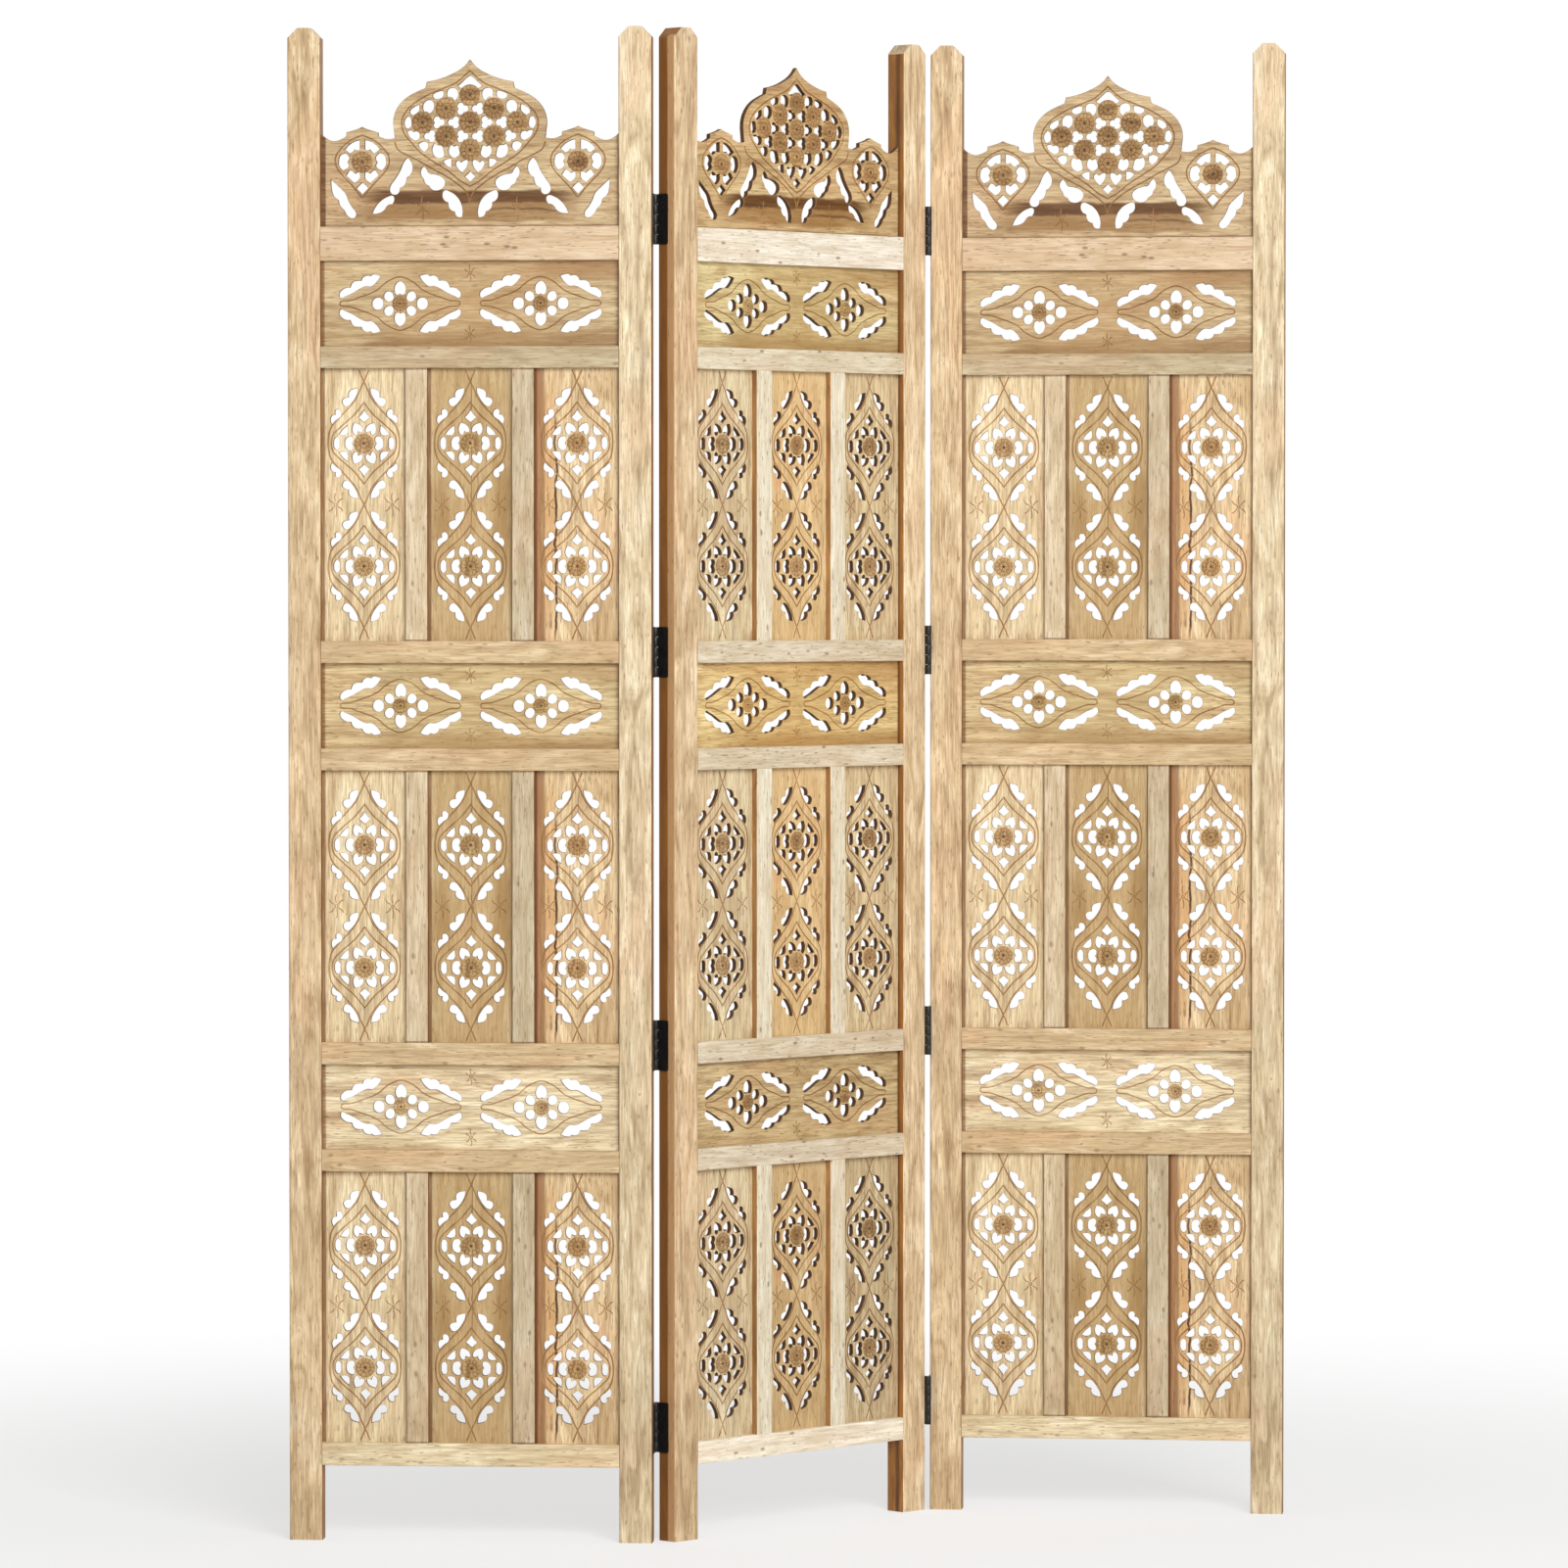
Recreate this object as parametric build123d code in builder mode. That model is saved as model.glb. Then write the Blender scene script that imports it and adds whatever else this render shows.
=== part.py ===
from build123d import *

import math
import os

# A three-leaf folding screen of carved and pierced boards in plain post-and-rail frames.
# Millimetres, +Z up. The screen stands in a zigzag, with the origin on the floor under the
# middle of the box around it. The viewer's side is -Y.
#
# Every leaf is the same. It is described once, standing in the XZ plane: x from its left edge,
# y from its front face to the back, z from the floor. The hinges then say where each leaf stands.

# ------------------------------------------------------------ driving dimensions: frames
leaf_width = 398.0
post_horn = 216.0  # the posts above the top rail
post_width = 36.0
post_thickness = 25.0
post_corner_clip = 8.0  # the corners cut off the tops of the posts
post_edge_easing = 1.5  # the long edges of the posts

foot_height = 82.0  # clear height under the bottom rail
bottom_rail_height = 25.0
rail_height = 24.0
top_rail_height = 37.0
rail_setback = 0.3  # from the faces of the posts
muntin_width = 24.0
muntin_setback = 1.2  # from the faces of the posts

tier_count = 3
tier_height = 297.0  # visible height of the upright boards
frieze_height = 93.0  # visible height of the lying boards
boards_per_tier = 3

# The boards lie loose in grooves, with a small gap at each face and at each edge.
board_thickness = 6.0
groove_setback = 8.5  # from the front of the posts
groove_depth = 6.0
groove_face_clearance = 0.1
groove_edge_clearance = 0.3

# ------------------------------------------------------------ driving dimensions: hinges
middle_leaf_turn = 43.5  # degrees by which the middle leaf recedes to the right
left_fold = 50.0  # degrees by which an outer leaf stands out of line with the middle one
right_fold = 52.0
hinge_gap = 3.0  # between two leaves in line
# Middles of the four hinges of a fold, above the foot of each tier and above the top rail.
hinge_rises = (17.0, -3.0, -12.0, 8.0)
hinge_height = 55.0
hinge_plate_thickness = 1.2
hinge_plate_width = 15.0
plate_root_clearance = 0.6  # a plate stops short of the other plate's knuckles
knuckle_count = 3
knuckle_radius = 3.2
knuckle_sides = 6
knuckle_end_clearance = 0.3
knuckle_post_clearance = 0.05  # the barrels lie just outside the faces of the posts
pin_radius = 1.5
pin_sides = 8
pin_clearance = 0.05

# ------------------------------------------------------------ driving dimensions: piercing
# The lying boards and the crest are drawn for one opening, and stretch sideways to fit another.
# Leaf-shaped openings are given by their two ends, to the right of and above a motif's middle.
drawn_opening_width = 326.0
upright_motif_spacing = 134.0  # two motifs on every upright board
# Openings of a motif to the right of and above its rosette: over it, and a leaf beyond.
upright_brow = ((11.0, 12.4), (5.5, 24.0))
upright_leaf = ((6.0, 60.0), (20.0, 39.5), (25.0, 51.5))

frieze_motif_spacing = 154.0
frieze_leaf = ((22.0, 31.0), (67.0, 8.6))
frieze_leaf_belly = 11.0

crest_apex = 181.5  # heights on the crest are above the top rail
crest_shoulder = (47.0, 157.0)
crest_brow = (21.0, 165.0)
crest_step = (49.0, 150.5)
crest_flank = (74.0, 135.0)
crest_waist = (83.5, 113.0)
crest_valley = (82.5, 96.0)
crest_valley_floor = (91.0, 95.5)
side_crest_place = 118.0
side_crest_half = 17.5
side_crest_apex = 108.5
side_crest_shoulder = 103.0
side_crest_step = 98.5
crest_dip = (149.0, 93.5)
crest_end = 101.0  # where the crest meets the posts

lattice_height = 113.5  # the middle rosette
lattice_column = 26.4
lattice_row = 30.0
lattice_opening = 8.0
window_width = 24.0
window_base = 151.0
window_top = 164.0
diamond_opening = 5.5
lattice_foot = 53.0
side_rosette_height = 70.6
side_ring_radius = 19.5
side_opening = 7.4
side_foot = 40.0
crest_leaves = (
    ((9.8, 10.2), (29.7, 38.6)),
    ((28.6, 42.9), (54.2, 65.8)),
    ((86.4, 36.4), (68.5, 74.5)),
    ((107.5, 14.5), (85.2, 32.0)),
    ((127.4, 9.0), (154.0, 49.5)),
)
crest_leaf_belly = 12.0

# ------------------------------------------------------------ worked out from them
leaf_middle = leaf_width / 2
opening_width = leaf_width - 2 * post_width
stretch = opening_width / drawn_opening_width
rail_thickness = post_thickness - 2 * rail_setback
muntin_thickness = post_thickness - 2 * muntin_setback
groove_width = board_thickness + 2 * groove_face_clearance
groove_middle = groove_setback + groove_width / 2
groove_back = groove_setback + groove_width
board_back = groove_back - groove_face_clearance
tongue = groove_depth - groove_edge_clearance
board_sight = (opening_width - (boards_per_tier - 1) * muntin_width) / boards_per_tier
board_pitch = board_sight + muntin_width
first_tier = foot_height + bottom_rail_height
tier_pitch = tier_height + frieze_height + 2 * rail_height
top_rail_base = first_tier + tier_count * tier_pitch - rail_height
crest_base = top_rail_base + top_rail_height
post_height = crest_base + post_horn
tier_bases = [first_tier + tier * tier_pitch for tier in range(tier_count)]
hinge_heights = [seat + rise for seat, rise in zip(tier_bases + [crest_base], hinge_rises)]
pin_offset = knuckle_radius + knuckle_post_clearance
knuckle_pitch = hinge_height / knuckle_count
knuckle_length = knuckle_pitch - knuckle_end_clearance


def stretched(*places):
    """Places on a drawn board, moved sideways to fit the opening between the posts."""
    return [(x * stretch, z) for x, z in places]


def leaf_corners(start, end, belly):
    """The corners of an opening that is pointed at both ends, with its belly left of the line."""
    (x0, z0), (x1, z1) = start, end
    share = belly / math.hypot(x1 - x0, z1 - z0)
    return start, end, ((x0 + x1) / 2 - share * (z1 - z0), (z0 + z1) / 2 + share * (x1 - x0))


def four_ways(corners):
    """An outline and its mirror images, left and right and above and below."""
    return [[(side * x, way * z) for x, z in corners] for side in (1, -1) for way in (1, -1)]


def two_ways(corners):
    """An outline and its mirror image on the left."""
    return [[(side * x, z) for x, z in corners] for side in (1, -1)]


# ------------------------------------------------------------ posts
with BuildPart() as left_post:
    with BuildSketch(Plane.XZ.offset(-post_thickness)) as post_front:
        with Locations((post_width / 2, post_height / 2)):
            Rectangle(post_width, post_height)
        chamfer(post_front.vertices().group_by(Axis.Y)[-1], post_corner_clip)
    extrude(amount=post_thickness)
    chamfer(left_post.edges().filter_by(Axis.Z), post_edge_easing)
    with BuildSketch(Plane.XY):
        with Locations((post_width - groove_depth / 2, groove_middle)):
            Rectangle(groove_depth, groove_width)
    extrude(amount=post_height, mode=Mode.SUBTRACT)

with BuildPart() as right_post:
    mirror(left_post.part, about=Plane.YZ.offset(leaf_middle))


# ------------------------------------------------------------ rails and muntins
def make_rail(base, height, groove_below=True, groove_above=True):
    """A rail with stub tenons for the grooves of the posts, and grooves of its own for boards."""
    web_base = base + groove_depth * groove_below
    web_top = base + height - groove_depth * groove_above
    with BuildPart() as rail:
        with BuildSketch(Plane.XZ.offset(rail_setback - post_thickness)):
            with Locations((leaf_middle, base + height / 2)):
                Rectangle(opening_width, height)
        extrude(amount=rail_thickness)
        with BuildSketch(Plane.XZ.offset(-groove_back)):
            with Locations((leaf_middle, base + height / 2)):
                Rectangle(opening_width, height)
        extrude(amount=groove_width, mode=Mode.SUBTRACT)
        with BuildSketch(Plane.XZ.offset(-groove_back)):
            with Locations((leaf_middle, (web_base + web_top) / 2)):
                Rectangle(opening_width + 2 * tongue, web_top - web_base)
        extrude(amount=groove_width)
    return rail.part


def make_muntins():
    """The uprights between the boards of every tier, stub-tenoned into the rails."""
    web_width = muntin_width - 2 * groove_depth
    columns = [leaf_middle + (gap - boards_per_tier / 2) * board_pitch for gap in range(1, boards_per_tier)]
    places = [(column, tier_base + tier_height / 2) for tier_base in tier_bases for column in columns]
    with BuildPart() as muntins:
        with BuildSketch(Plane.XZ.offset(muntin_setback - post_thickness)):
            with Locations(*places):
                Rectangle(muntin_width, tier_height)
        extrude(amount=muntin_thickness)
        with BuildSketch(Plane.XZ.offset(-groove_back)):
            with Locations(*places):
                Rectangle(muntin_width, tier_height)
        extrude(amount=groove_width, mode=Mode.SUBTRACT)
        with BuildSketch(Plane.XZ.offset(-groove_back)):
            with Locations(*places):
                Rectangle(web_width, tier_height + 2 * tongue)
        extrude(amount=groove_width)
    return muntins.part


# ------------------------------------------------------------ pierced boards
def make_boards(base):
    """The upright boards of one tier, each with two motifs of four leaves around a rosette."""
    brow = [*upright_brow, *[(-x, z) for x, z in reversed(upright_brow)]]
    motif = [brow, [(x, -z) for x, z in brow], *four_ways(upright_leaf)]
    with BuildPart() as boards:
        with BuildSketch(Plane.XZ.offset(-board_back)):
            with Locations((leaf_middle, base + tier_height / 2)):
                with GridLocations(board_pitch, 0, boards_per_tier, 1):
                    Rectangle(board_sight + 2 * tongue, tier_height + 2 * tongue)
                    with GridLocations(0, upright_motif_spacing, 1, 2):
                        for corners in motif:
                            Polygon(*corners, align=None, mode=Mode.SUBTRACT)
        extrude(amount=board_thickness)
    return boards.part


def make_frieze(base):
    """A lying board between two rails, with two motifs of four leaves each."""
    leaf = leaf_corners(*stretched(*frieze_leaf), frieze_leaf_belly)
    with BuildPart() as frieze:
        with BuildSketch(Plane.XZ.offset(-board_back)):
            with Locations((leaf_middle, base + frieze_height / 2)):
                Rectangle(opening_width + 2 * tongue, frieze_height + 2 * tongue)
                with GridLocations(frieze_motif_spacing * stretch, 0, 2, 1):
                    for corners in four_ways(leaf):
                        Polygon(*corners, align=None, mode=Mode.SUBTRACT)
        extrude(amount=board_thickness)
    return frieze.part


def lattice_openings():
    """The openings between the rosettes of the crest, as (place, turn), on both sides.

    Each column of rosettes is half a row out of step with the next, so three neighbours leave a
    triangle with its corners in their gaps. Places here are counted in columns and half rows.
    """
    outward = [(0, 1), (0, -1), (0, -3), (1, 0)]
    inward = [(0, 0), (0, 2), (0, -2), (1, 1), (1, -1)]
    right = [(column + 1 / 3, row, 180) for column, row in outward]
    right += [(column + 2 / 3, row, 0) for column, row in inward]
    left = [(-column, row, 180 - turn) for column, row, turn in right]
    return [
        ((column * lattice_column * stretch, lattice_height + row * lattice_row / 2), turn)
        for column, row, turn in right + left
    ]


with BuildPart() as crest:
    with BuildSketch(Plane.XZ.offset(-board_back)) as crest_front:
        with Locations((leaf_middle, crest_base)):
            with BuildSketch(mode=Mode.PRIVATE) as crest_outline:
                with BuildLine():
                    side_inner = side_crest_place - side_crest_half
                    side_outer = side_crest_place + side_crest_half
                    Polyline(*stretched((0, crest_apex), crest_brow, crest_shoulder, crest_step))
                    ThreePointArc(*stretched(crest_step, crest_flank, crest_waist))
                    Polyline(
                        *stretched(
                            crest_waist,
                            crest_valley,
                            crest_valley_floor,
                            (side_inner, side_crest_step),
                            (side_inner, side_crest_shoulder),
                            (side_crest_place, side_crest_apex),
                            (side_outer, side_crest_shoulder),
                            (side_outer, side_crest_step),
                            crest_dip,
                        ),
                        (opening_width / 2, crest_end),
                        (opening_width / 2 + tongue, crest_end),
                        (opening_width / 2 + tongue, -tongue),
                        (0, -tongue),
                    )
                    mirror(about=Plane.YZ)
                make_face()
            add(crest_outline.sketch)
            for place, turn in lattice_openings():
                with Locations(place):
                    RegularPolygon(lattice_opening, 3, rotation=turn, mode=Mode.SUBTRACT)
            window_foot = [(side * window_width / 2, window_base) for side in (-1, 1)]
            Polygon(*stretched(*window_foot, (0, window_top)), align=None, mode=Mode.SUBTRACT)
            side_columns = [side * side_crest_place * stretch for side in (-1, 1)]
            with Locations((0, lattice_foot), *[(x, side_foot) for x in side_columns]):
                RegularPolygon(diamond_opening, 4, rotation=45, mode=Mode.SUBTRACT)
            with Locations(*[(x, side_rosette_height) for x in side_columns]):
                with PolarLocations(side_ring_radius, 6):
                    RegularPolygon(side_opening, 3, mode=Mode.SUBTRACT)
            for leaf_ends in crest_leaves:
                for corners in two_ways(leaf_corners(*stretched(*leaf_ends), -crest_leaf_belly)):
                    Polygon(*corners, align=None, mode=Mode.SUBTRACT)
    extrude(amount=board_thickness)


# ------------------------------------------------------------ hinges
def hinge_planes(edge, outward, face, face_way):
    """A plane for each hinge of a fold, where x leads out of the post's edge and y out of its face.

    edge is the x of the leaf's edge and outward its side, face the y of the leaf's face where the
    barrels lie and face_way its side. Each plane lies at the middle of its hinge.
    """
    return [
        Plane(origin=(edge, face, height), x_dir=(outward, 0, 0), z_dir=(0, 0, outward * face_way))
        for height in hinge_heights
    ]


def knuckle_middles(first):
    """Every second knuckle of a barrel, as heights above the middle of the hinge."""
    return [(index - (knuckle_count - 1) / 2) * knuckle_pitch for index in range(first, knuckle_count, 2)]


def make_plates(planes, first_knuckle):
    """One side of the hinges of a fold: plates on the edge of the post, rolled around the pin."""
    bore_radius = (pin_radius + pin_clearance) / math.cos(math.pi / knuckle_sides)
    pin_place = (hinge_gap / 2, pin_offset)
    with BuildPart() as plates:
        for plane in planes:
            with BuildSketch(plane):
                with Locations((hinge_plate_thickness / 2, -(plate_root_clearance + hinge_plate_width) / 2)):
                    Rectangle(hinge_plate_thickness, hinge_plate_width - plate_root_clearance)
            extrude(amount=hinge_height / 2, both=True)
            for middle in knuckle_middles(first_knuckle):
                with BuildSketch(plane.offset(middle)):
                    with Locations((hinge_plate_thickness / 2, (pin_offset - plate_root_clearance) / 2)):
                        Rectangle(hinge_plate_thickness, pin_offset + plate_root_clearance)
                    with Locations(pin_place):
                        RegularPolygon(knuckle_radius, knuckle_sides)
                        RegularPolygon(bore_radius, knuckle_sides, mode=Mode.SUBTRACT)
                extrude(amount=knuckle_length / 2, both=True)
    return plates.part


def make_pins(planes):
    """The pins of a fold's hinges."""
    pin_length = hinge_height - knuckle_end_clearance
    with BuildPart() as pins:
        for plane in planes:
            with BuildSketch(plane.offset(-pin_length / 2)):
                with Locations((hinge_gap / 2, pin_offset)):
                    RegularPolygon(pin_radius, pin_sides)
            extrude(amount=pin_length)
    return pins.part


back = (post_thickness, 1)
front = (0, -1)
left_edge = (0, -1)
right_edge = (leaf_width, 1)

# ------------------------------------------------------------ where the leaves stand
middle_leaf = Plane(origin=(0, 0, 0), x_dir=Vector(1, 0, 0).rotate(Axis.Z, middle_leaf_turn))
left_direction = middle_leaf.x_dir.rotate(Axis.Z, -left_fold)
right_direction = middle_leaf.x_dir.rotate(Axis.Z, -right_fold)
left_pin = middle_leaf.from_local_coords(Vector(-hinge_gap / 2, post_thickness + pin_offset, 0))
right_pin = middle_leaf.from_local_coords(Vector(leaf_width + hinge_gap / 2, -pin_offset, 0))
left_turned = Plane(origin=left_pin, x_dir=left_direction)
right_turned = Plane(origin=right_pin, x_dir=right_direction)
left_leaf = left_turned.shift_origin(
    left_turned.from_local_coords(Vector(-leaf_width - hinge_gap / 2, -post_thickness - pin_offset, 0))
)
right_leaf = right_turned.shift_origin(right_turned.from_local_coords(Vector(hinge_gap / 2, pin_offset, 0)))

leaf_planes = {"left": left_leaf, "middle": middle_leaf, "right": right_leaf}
footprint = Compound(
    [post.part.moved(plane.location) for plane in leaf_planes.values() for post in (left_post, right_post)]
).bounding_box()
to_origin = Location((-footprint.center().X, -footprint.center().Y, 0))


def write(piece, leaf_name, name):
    """Set a piece of a leaf where that leaf stands, and write it to its own file."""
    placed = piece.moved(to_origin * leaf_planes[leaf_name].location)
    placed.label = name
    export_step(placed, f"parts/{name}.step")


# ------------------------------------------------------------ the pieces of one leaf
pieces = {
    "left_post": left_post.part,
    "right_post": right_post.part,
    "bottom_rail": make_rail(foot_height, bottom_rail_height, groove_below=False),
    "top_rail": make_rail(top_rail_base, top_rail_height),
    "muntins": make_muntins(),
    "crest_board": crest.part,
}
for tier, tier_base in enumerate(tier_bases):
    frieze_base = tier_base + tier_height + rail_height
    pieces[f"tier_{tier + 1}_boards"] = make_boards(tier_base)
    pieces[f"tier_{tier + 1}_rail"] = make_rail(tier_base + tier_height, rail_height)
    pieces[f"frieze_{tier + 1}_board"] = make_frieze(frieze_base)
    if tier < tier_count - 1:
        pieces[f"frieze_{tier + 1}_rail"] = make_rail(frieze_base + frieze_height, rail_height)

os.makedirs("parts", exist_ok=True)

for leaf_name in leaf_planes:
    for piece_name, piece in pieces.items():
        write(piece, leaf_name, f"{leaf_name}_{piece_name}")

# The left fold has its pins behind, the right fold in front, so the screen folds flat as a Z.
write(make_plates(hinge_planes(*right_edge, *back), 0), "left", "left_fold_outer_plates")
write(make_plates(hinge_planes(*left_edge, *back), 1), "middle", "left_fold_middle_plates")
write(make_pins(hinge_planes(*left_edge, *back)), "middle", "left_fold_pins")
write(make_plates(hinge_planes(*right_edge, *front), 1), "middle", "right_fold_middle_plates")
write(make_plates(hinge_planes(*left_edge, *front), 0), "right", "right_fold_outer_plates")
write(make_pins(hinge_planes(*right_edge, *front)), "middle", "right_fold_pins")
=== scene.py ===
"""A three-leaf folding screen of carved and pierced mango wood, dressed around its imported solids.

Everything is in metres. A leaf is modelled once in its own coordinates: x from its left edge, y from
its front face to the back, z from the floor. Each piece is then copied to the three leaves.
"""

import logging
import math
import random
from collections.abc import Callable, Iterator, Sequence
from contextlib import contextmanager
from dataclasses import dataclass, field
from enum import Enum

import bmesh
import bpy
from mathutils import Matrix, Vector


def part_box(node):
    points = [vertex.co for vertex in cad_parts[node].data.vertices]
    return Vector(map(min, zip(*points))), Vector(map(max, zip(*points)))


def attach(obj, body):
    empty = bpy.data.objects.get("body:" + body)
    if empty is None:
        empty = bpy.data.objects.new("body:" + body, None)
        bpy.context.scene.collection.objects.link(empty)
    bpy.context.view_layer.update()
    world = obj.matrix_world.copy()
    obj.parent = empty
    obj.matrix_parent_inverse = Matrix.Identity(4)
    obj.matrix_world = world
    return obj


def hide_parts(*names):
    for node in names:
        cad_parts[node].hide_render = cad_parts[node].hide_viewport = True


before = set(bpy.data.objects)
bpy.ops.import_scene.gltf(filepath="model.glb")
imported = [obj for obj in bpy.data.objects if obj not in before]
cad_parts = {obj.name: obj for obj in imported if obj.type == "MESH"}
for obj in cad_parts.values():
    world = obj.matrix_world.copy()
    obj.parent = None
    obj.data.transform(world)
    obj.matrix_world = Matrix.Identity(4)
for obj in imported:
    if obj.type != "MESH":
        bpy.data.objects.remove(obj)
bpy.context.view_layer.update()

log = logging.getLogger("screen")

MM = 0.001
BODIES = {"left": "left_leaf", "middle": "middle_leaf", "right": "right_leaf"}
TIERS = (1, 2, 3)
SHARP = 1  # third number of an outline's point: a corner, where the others are rounded
ALONG = 0.9  # a direction follows an axis if it has at least this much of it
ACROSS = 0.1  # and is square to it if it has less than this

Object = bpy.types.Object
Socket = bpy.types.NodeSocket
Colour = tuple[float, float, float, float]
Tint = tuple[float, float, float]
Outline = Sequence[tuple[float, ...]]
Line = tuple[Outline, bool, float]  # its points, whether its ends meet, and its weight
Test = Callable[[Vector, Vector], bool]


# ---------------------------------------------------------------- ways of modelling
class Kind(Enum):
    """What is selected in edit mode."""

    EDGE = "EDGE"
    FACE = "FACE"


def clear_selection() -> None:
    """Leave nothing selected, in object mode."""
    if bpy.context.mode != "OBJECT":
        bpy.ops.object.mode_set(mode="OBJECT")
    bpy.ops.object.select_all(action="DESELECT")


def pick(piece: Object) -> Object:
    """Select one piece alone and make it active."""
    clear_selection()
    piece.select_set(True)
    bpy.context.view_layer.objects.active = piece
    return piece


@contextmanager
def editing(piece: Object) -> Iterator[None]:
    """Edit mode on one piece, with nothing in it selected at first.

    Args:
        piece: the piece to edit.
    """
    pick(piece)
    bpy.ops.object.mode_set(mode="EDIT")
    bpy.ops.mesh.select_all(action="DESELECT")
    yield
    bpy.ops.object.mode_set(mode="OBJECT")


def choose(piece: Object, kind: Kind, test: Test) -> None:
    """Select the faces or edges of a piece in edit mode that pass a test.

    Args:
        piece: the piece in edit mode.
        kind: faces or edges.
        test: told the middle of each and its normal, or an edge's direction.
    """
    bpy.ops.mesh.select_mode(type=kind.value)
    bpy.ops.mesh.select_all(action="DESELECT")
    mesh = bmesh.from_edit_mesh(piece.data)
    if kind is Kind.FACE:
        for face in mesh.faces:
            face.select_set(test(face.calc_center_median(), face.normal))
    else:
        for edge in mesh.edges:
            ends = [corner.co for corner in edge.verts]
            edge.select_set(test((ends[0] + ends[1]) / 2, (ends[1] - ends[0]).normalized()))
    mesh.select_flush_mode()
    bmesh.update_edit_mesh(piece.data)


def blank(name: str, low: Vector, high: Vector) -> Object:
    """Add a sawn block that fills a box, for shaping.

    Args:
        name: the piece's name.
        low: the box's lowest corner.
        high: its highest corner.

    Returns:
        The block.
    """
    clear_selection()
    bpy.ops.mesh.primitive_cube_add(size=1, location=(low + high) / 2, scale=high - low)
    return settled(name)


def settled(name: str) -> Object:
    """Name the active piece and put its place and scale into its mesh.

    Args:
        name: the piece's name.

    Returns:
        The piece.
    """
    piece = bpy.context.object
    piece.name = piece.data.name = name
    pick(piece)
    bpy.ops.object.transform_apply(location=True, rotation=True, scale=True)
    return piece


def slice_at(axis: int, *places: float) -> None:
    """Cut new edges right through the piece in edit mode, without parting it.

    Args:
        axis: the direction that the cuts are square to.
        places: where along it they are.
    """
    normal = [float(index == axis) for index in range(3)]
    for place in places:
        bpy.ops.mesh.select_all(action="SELECT")
        bpy.ops.mesh.bisect(plane_co=[place * part for part in normal], plane_no=normal)


def drag(vector: Vector) -> None:
    """Extrude the selected faces in edit mode by a vector."""
    bpy.ops.mesh.extrude_region_move(TRANSFORM_OT_translate={"value": vector})


def draw_out(piece: Object, test: Test, axis: int, distance: float) -> None:
    """Extrude the faces of a piece in edit mode that pass a test along one axis.

    Args:
        piece: the piece in edit mode.
        test: told the middle of each face and its normal.
        axis: the axis.
        distance: how far, negative towards its lower end.
    """
    choose(piece, Kind.FACE, test)
    drag(Vector([distance * (index == axis) for index in range(3)]))


def tidy_skin() -> None:
    """Merge doubled corners of the piece in edit mode and turn its faces outwards."""
    bpy.ops.mesh.select_all(action="SELECT")
    bpy.ops.mesh.remove_doubles(threshold=2e-6)
    bpy.ops.mesh.normals_make_consistent(inside=False)


def ease(piece: Object, test: Test, offset: float, segments: int) -> None:
    """Bevel the edges of a piece that pass a test.

    Args:
        piece: the piece.
        test: told the middle of each edge and its direction.
        offset: how far the bevel reaches.
        segments: how many faces it has across.
    """
    with editing(piece):
        choose(piece, Kind.EDGE, test)
        bpy.ops.mesh.bevel(offset=offset, segments=segments, affect="EDGES")
        tidy_skin()


def soften(piece: Object, degrees: float = 32.0) -> None:
    """Shade a piece smooth except over edges sharper than an angle."""
    pick(piece)
    bpy.ops.object.shade_smooth_by_angle(angle=math.radians(degrees))


def cut_with(piece: Object, tool: Object, operation: str) -> None:
    """Join a tool to a piece or cut it away, and remove the tool.

    Args:
        piece: the piece that is cut.
        tool: the closed shape that cuts it or is joined to it.
        operation: DIFFERENCE or UNION.
    """
    cut = piece.modifiers.new("cut", "BOOLEAN")
    cut.operation, cut.solver, cut.object = operation, "EXACT", tool
    cut.use_self = True
    cut.material_mode = "INDEX"
    pick(piece)
    bpy.ops.object.modifier_apply(modifier=cut.name)
    bpy.data.objects.remove(tool)


def twin(piece: Object, name: str, matrix: Matrix) -> Object:
    """Copy a piece with a mesh of its own and move the copy.

    Args:
        piece: the piece that is copied.
        name: the copy's name.
        matrix: how it is moved; a mirroring has its faces turned outwards again.

    Returns:
        The copy.
    """
    copy = piece.copy()
    copy.data = piece.data.copy()
    copy.name = copy.data.name = name
    bpy.context.scene.collection.objects.link(copy)
    copy.data.transform(matrix)
    if matrix.determinant() < 0:
        copy.data.flip_normals()
    return copy


def joined(name: str, pieces: Sequence[Object]) -> Object:
    """Join pieces into one, with the finish that each of their faces is numbered for.

    Args:
        name: the name of the whole.
        pieces: what is joined, at least one; they are twins, or their faces are all numbered 0.

    Returns:
        The whole.
    """
    numbers = [face.material_index for piece in pieces for face in piece.data.polygons]
    clear_selection()
    for piece in pieces:
        piece.select_set(True)
    bpy.context.view_layer.objects.active = pieces[0]
    if len(pieces) > 1:
        bpy.ops.object.join()
    pieces[0].name = pieces[0].data.name = name
    pieces[0].data.polygons.foreach_set("material_index", numbers)
    return pieces[0]


# ---------------------------------------------------------------- drawn shapes
def sketch(points: str) -> Outline:
    """An outline from its points, each written as x,z in millimetres, a sharp corner with ! after it."""
    corners = [(point.strip("!").split(","), point.endswith("!")) for point in points.split()]
    return tuple((float(x), float(z), *[SHARP] * sharp) for (x, z), sharp in corners)


def mirrored(outline: Outline, across: bool, upright: bool = False) -> Outline:
    """An outline reflected sideways, upside down or both."""
    return [(-x if across else x, -z if upright else z, *rest) for x, z, *rest in outline]


def two_ways(outline: Outline) -> list[Outline]:
    """An outline and its mirror image on the left."""
    return [outline, mirrored(outline, True)]


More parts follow.
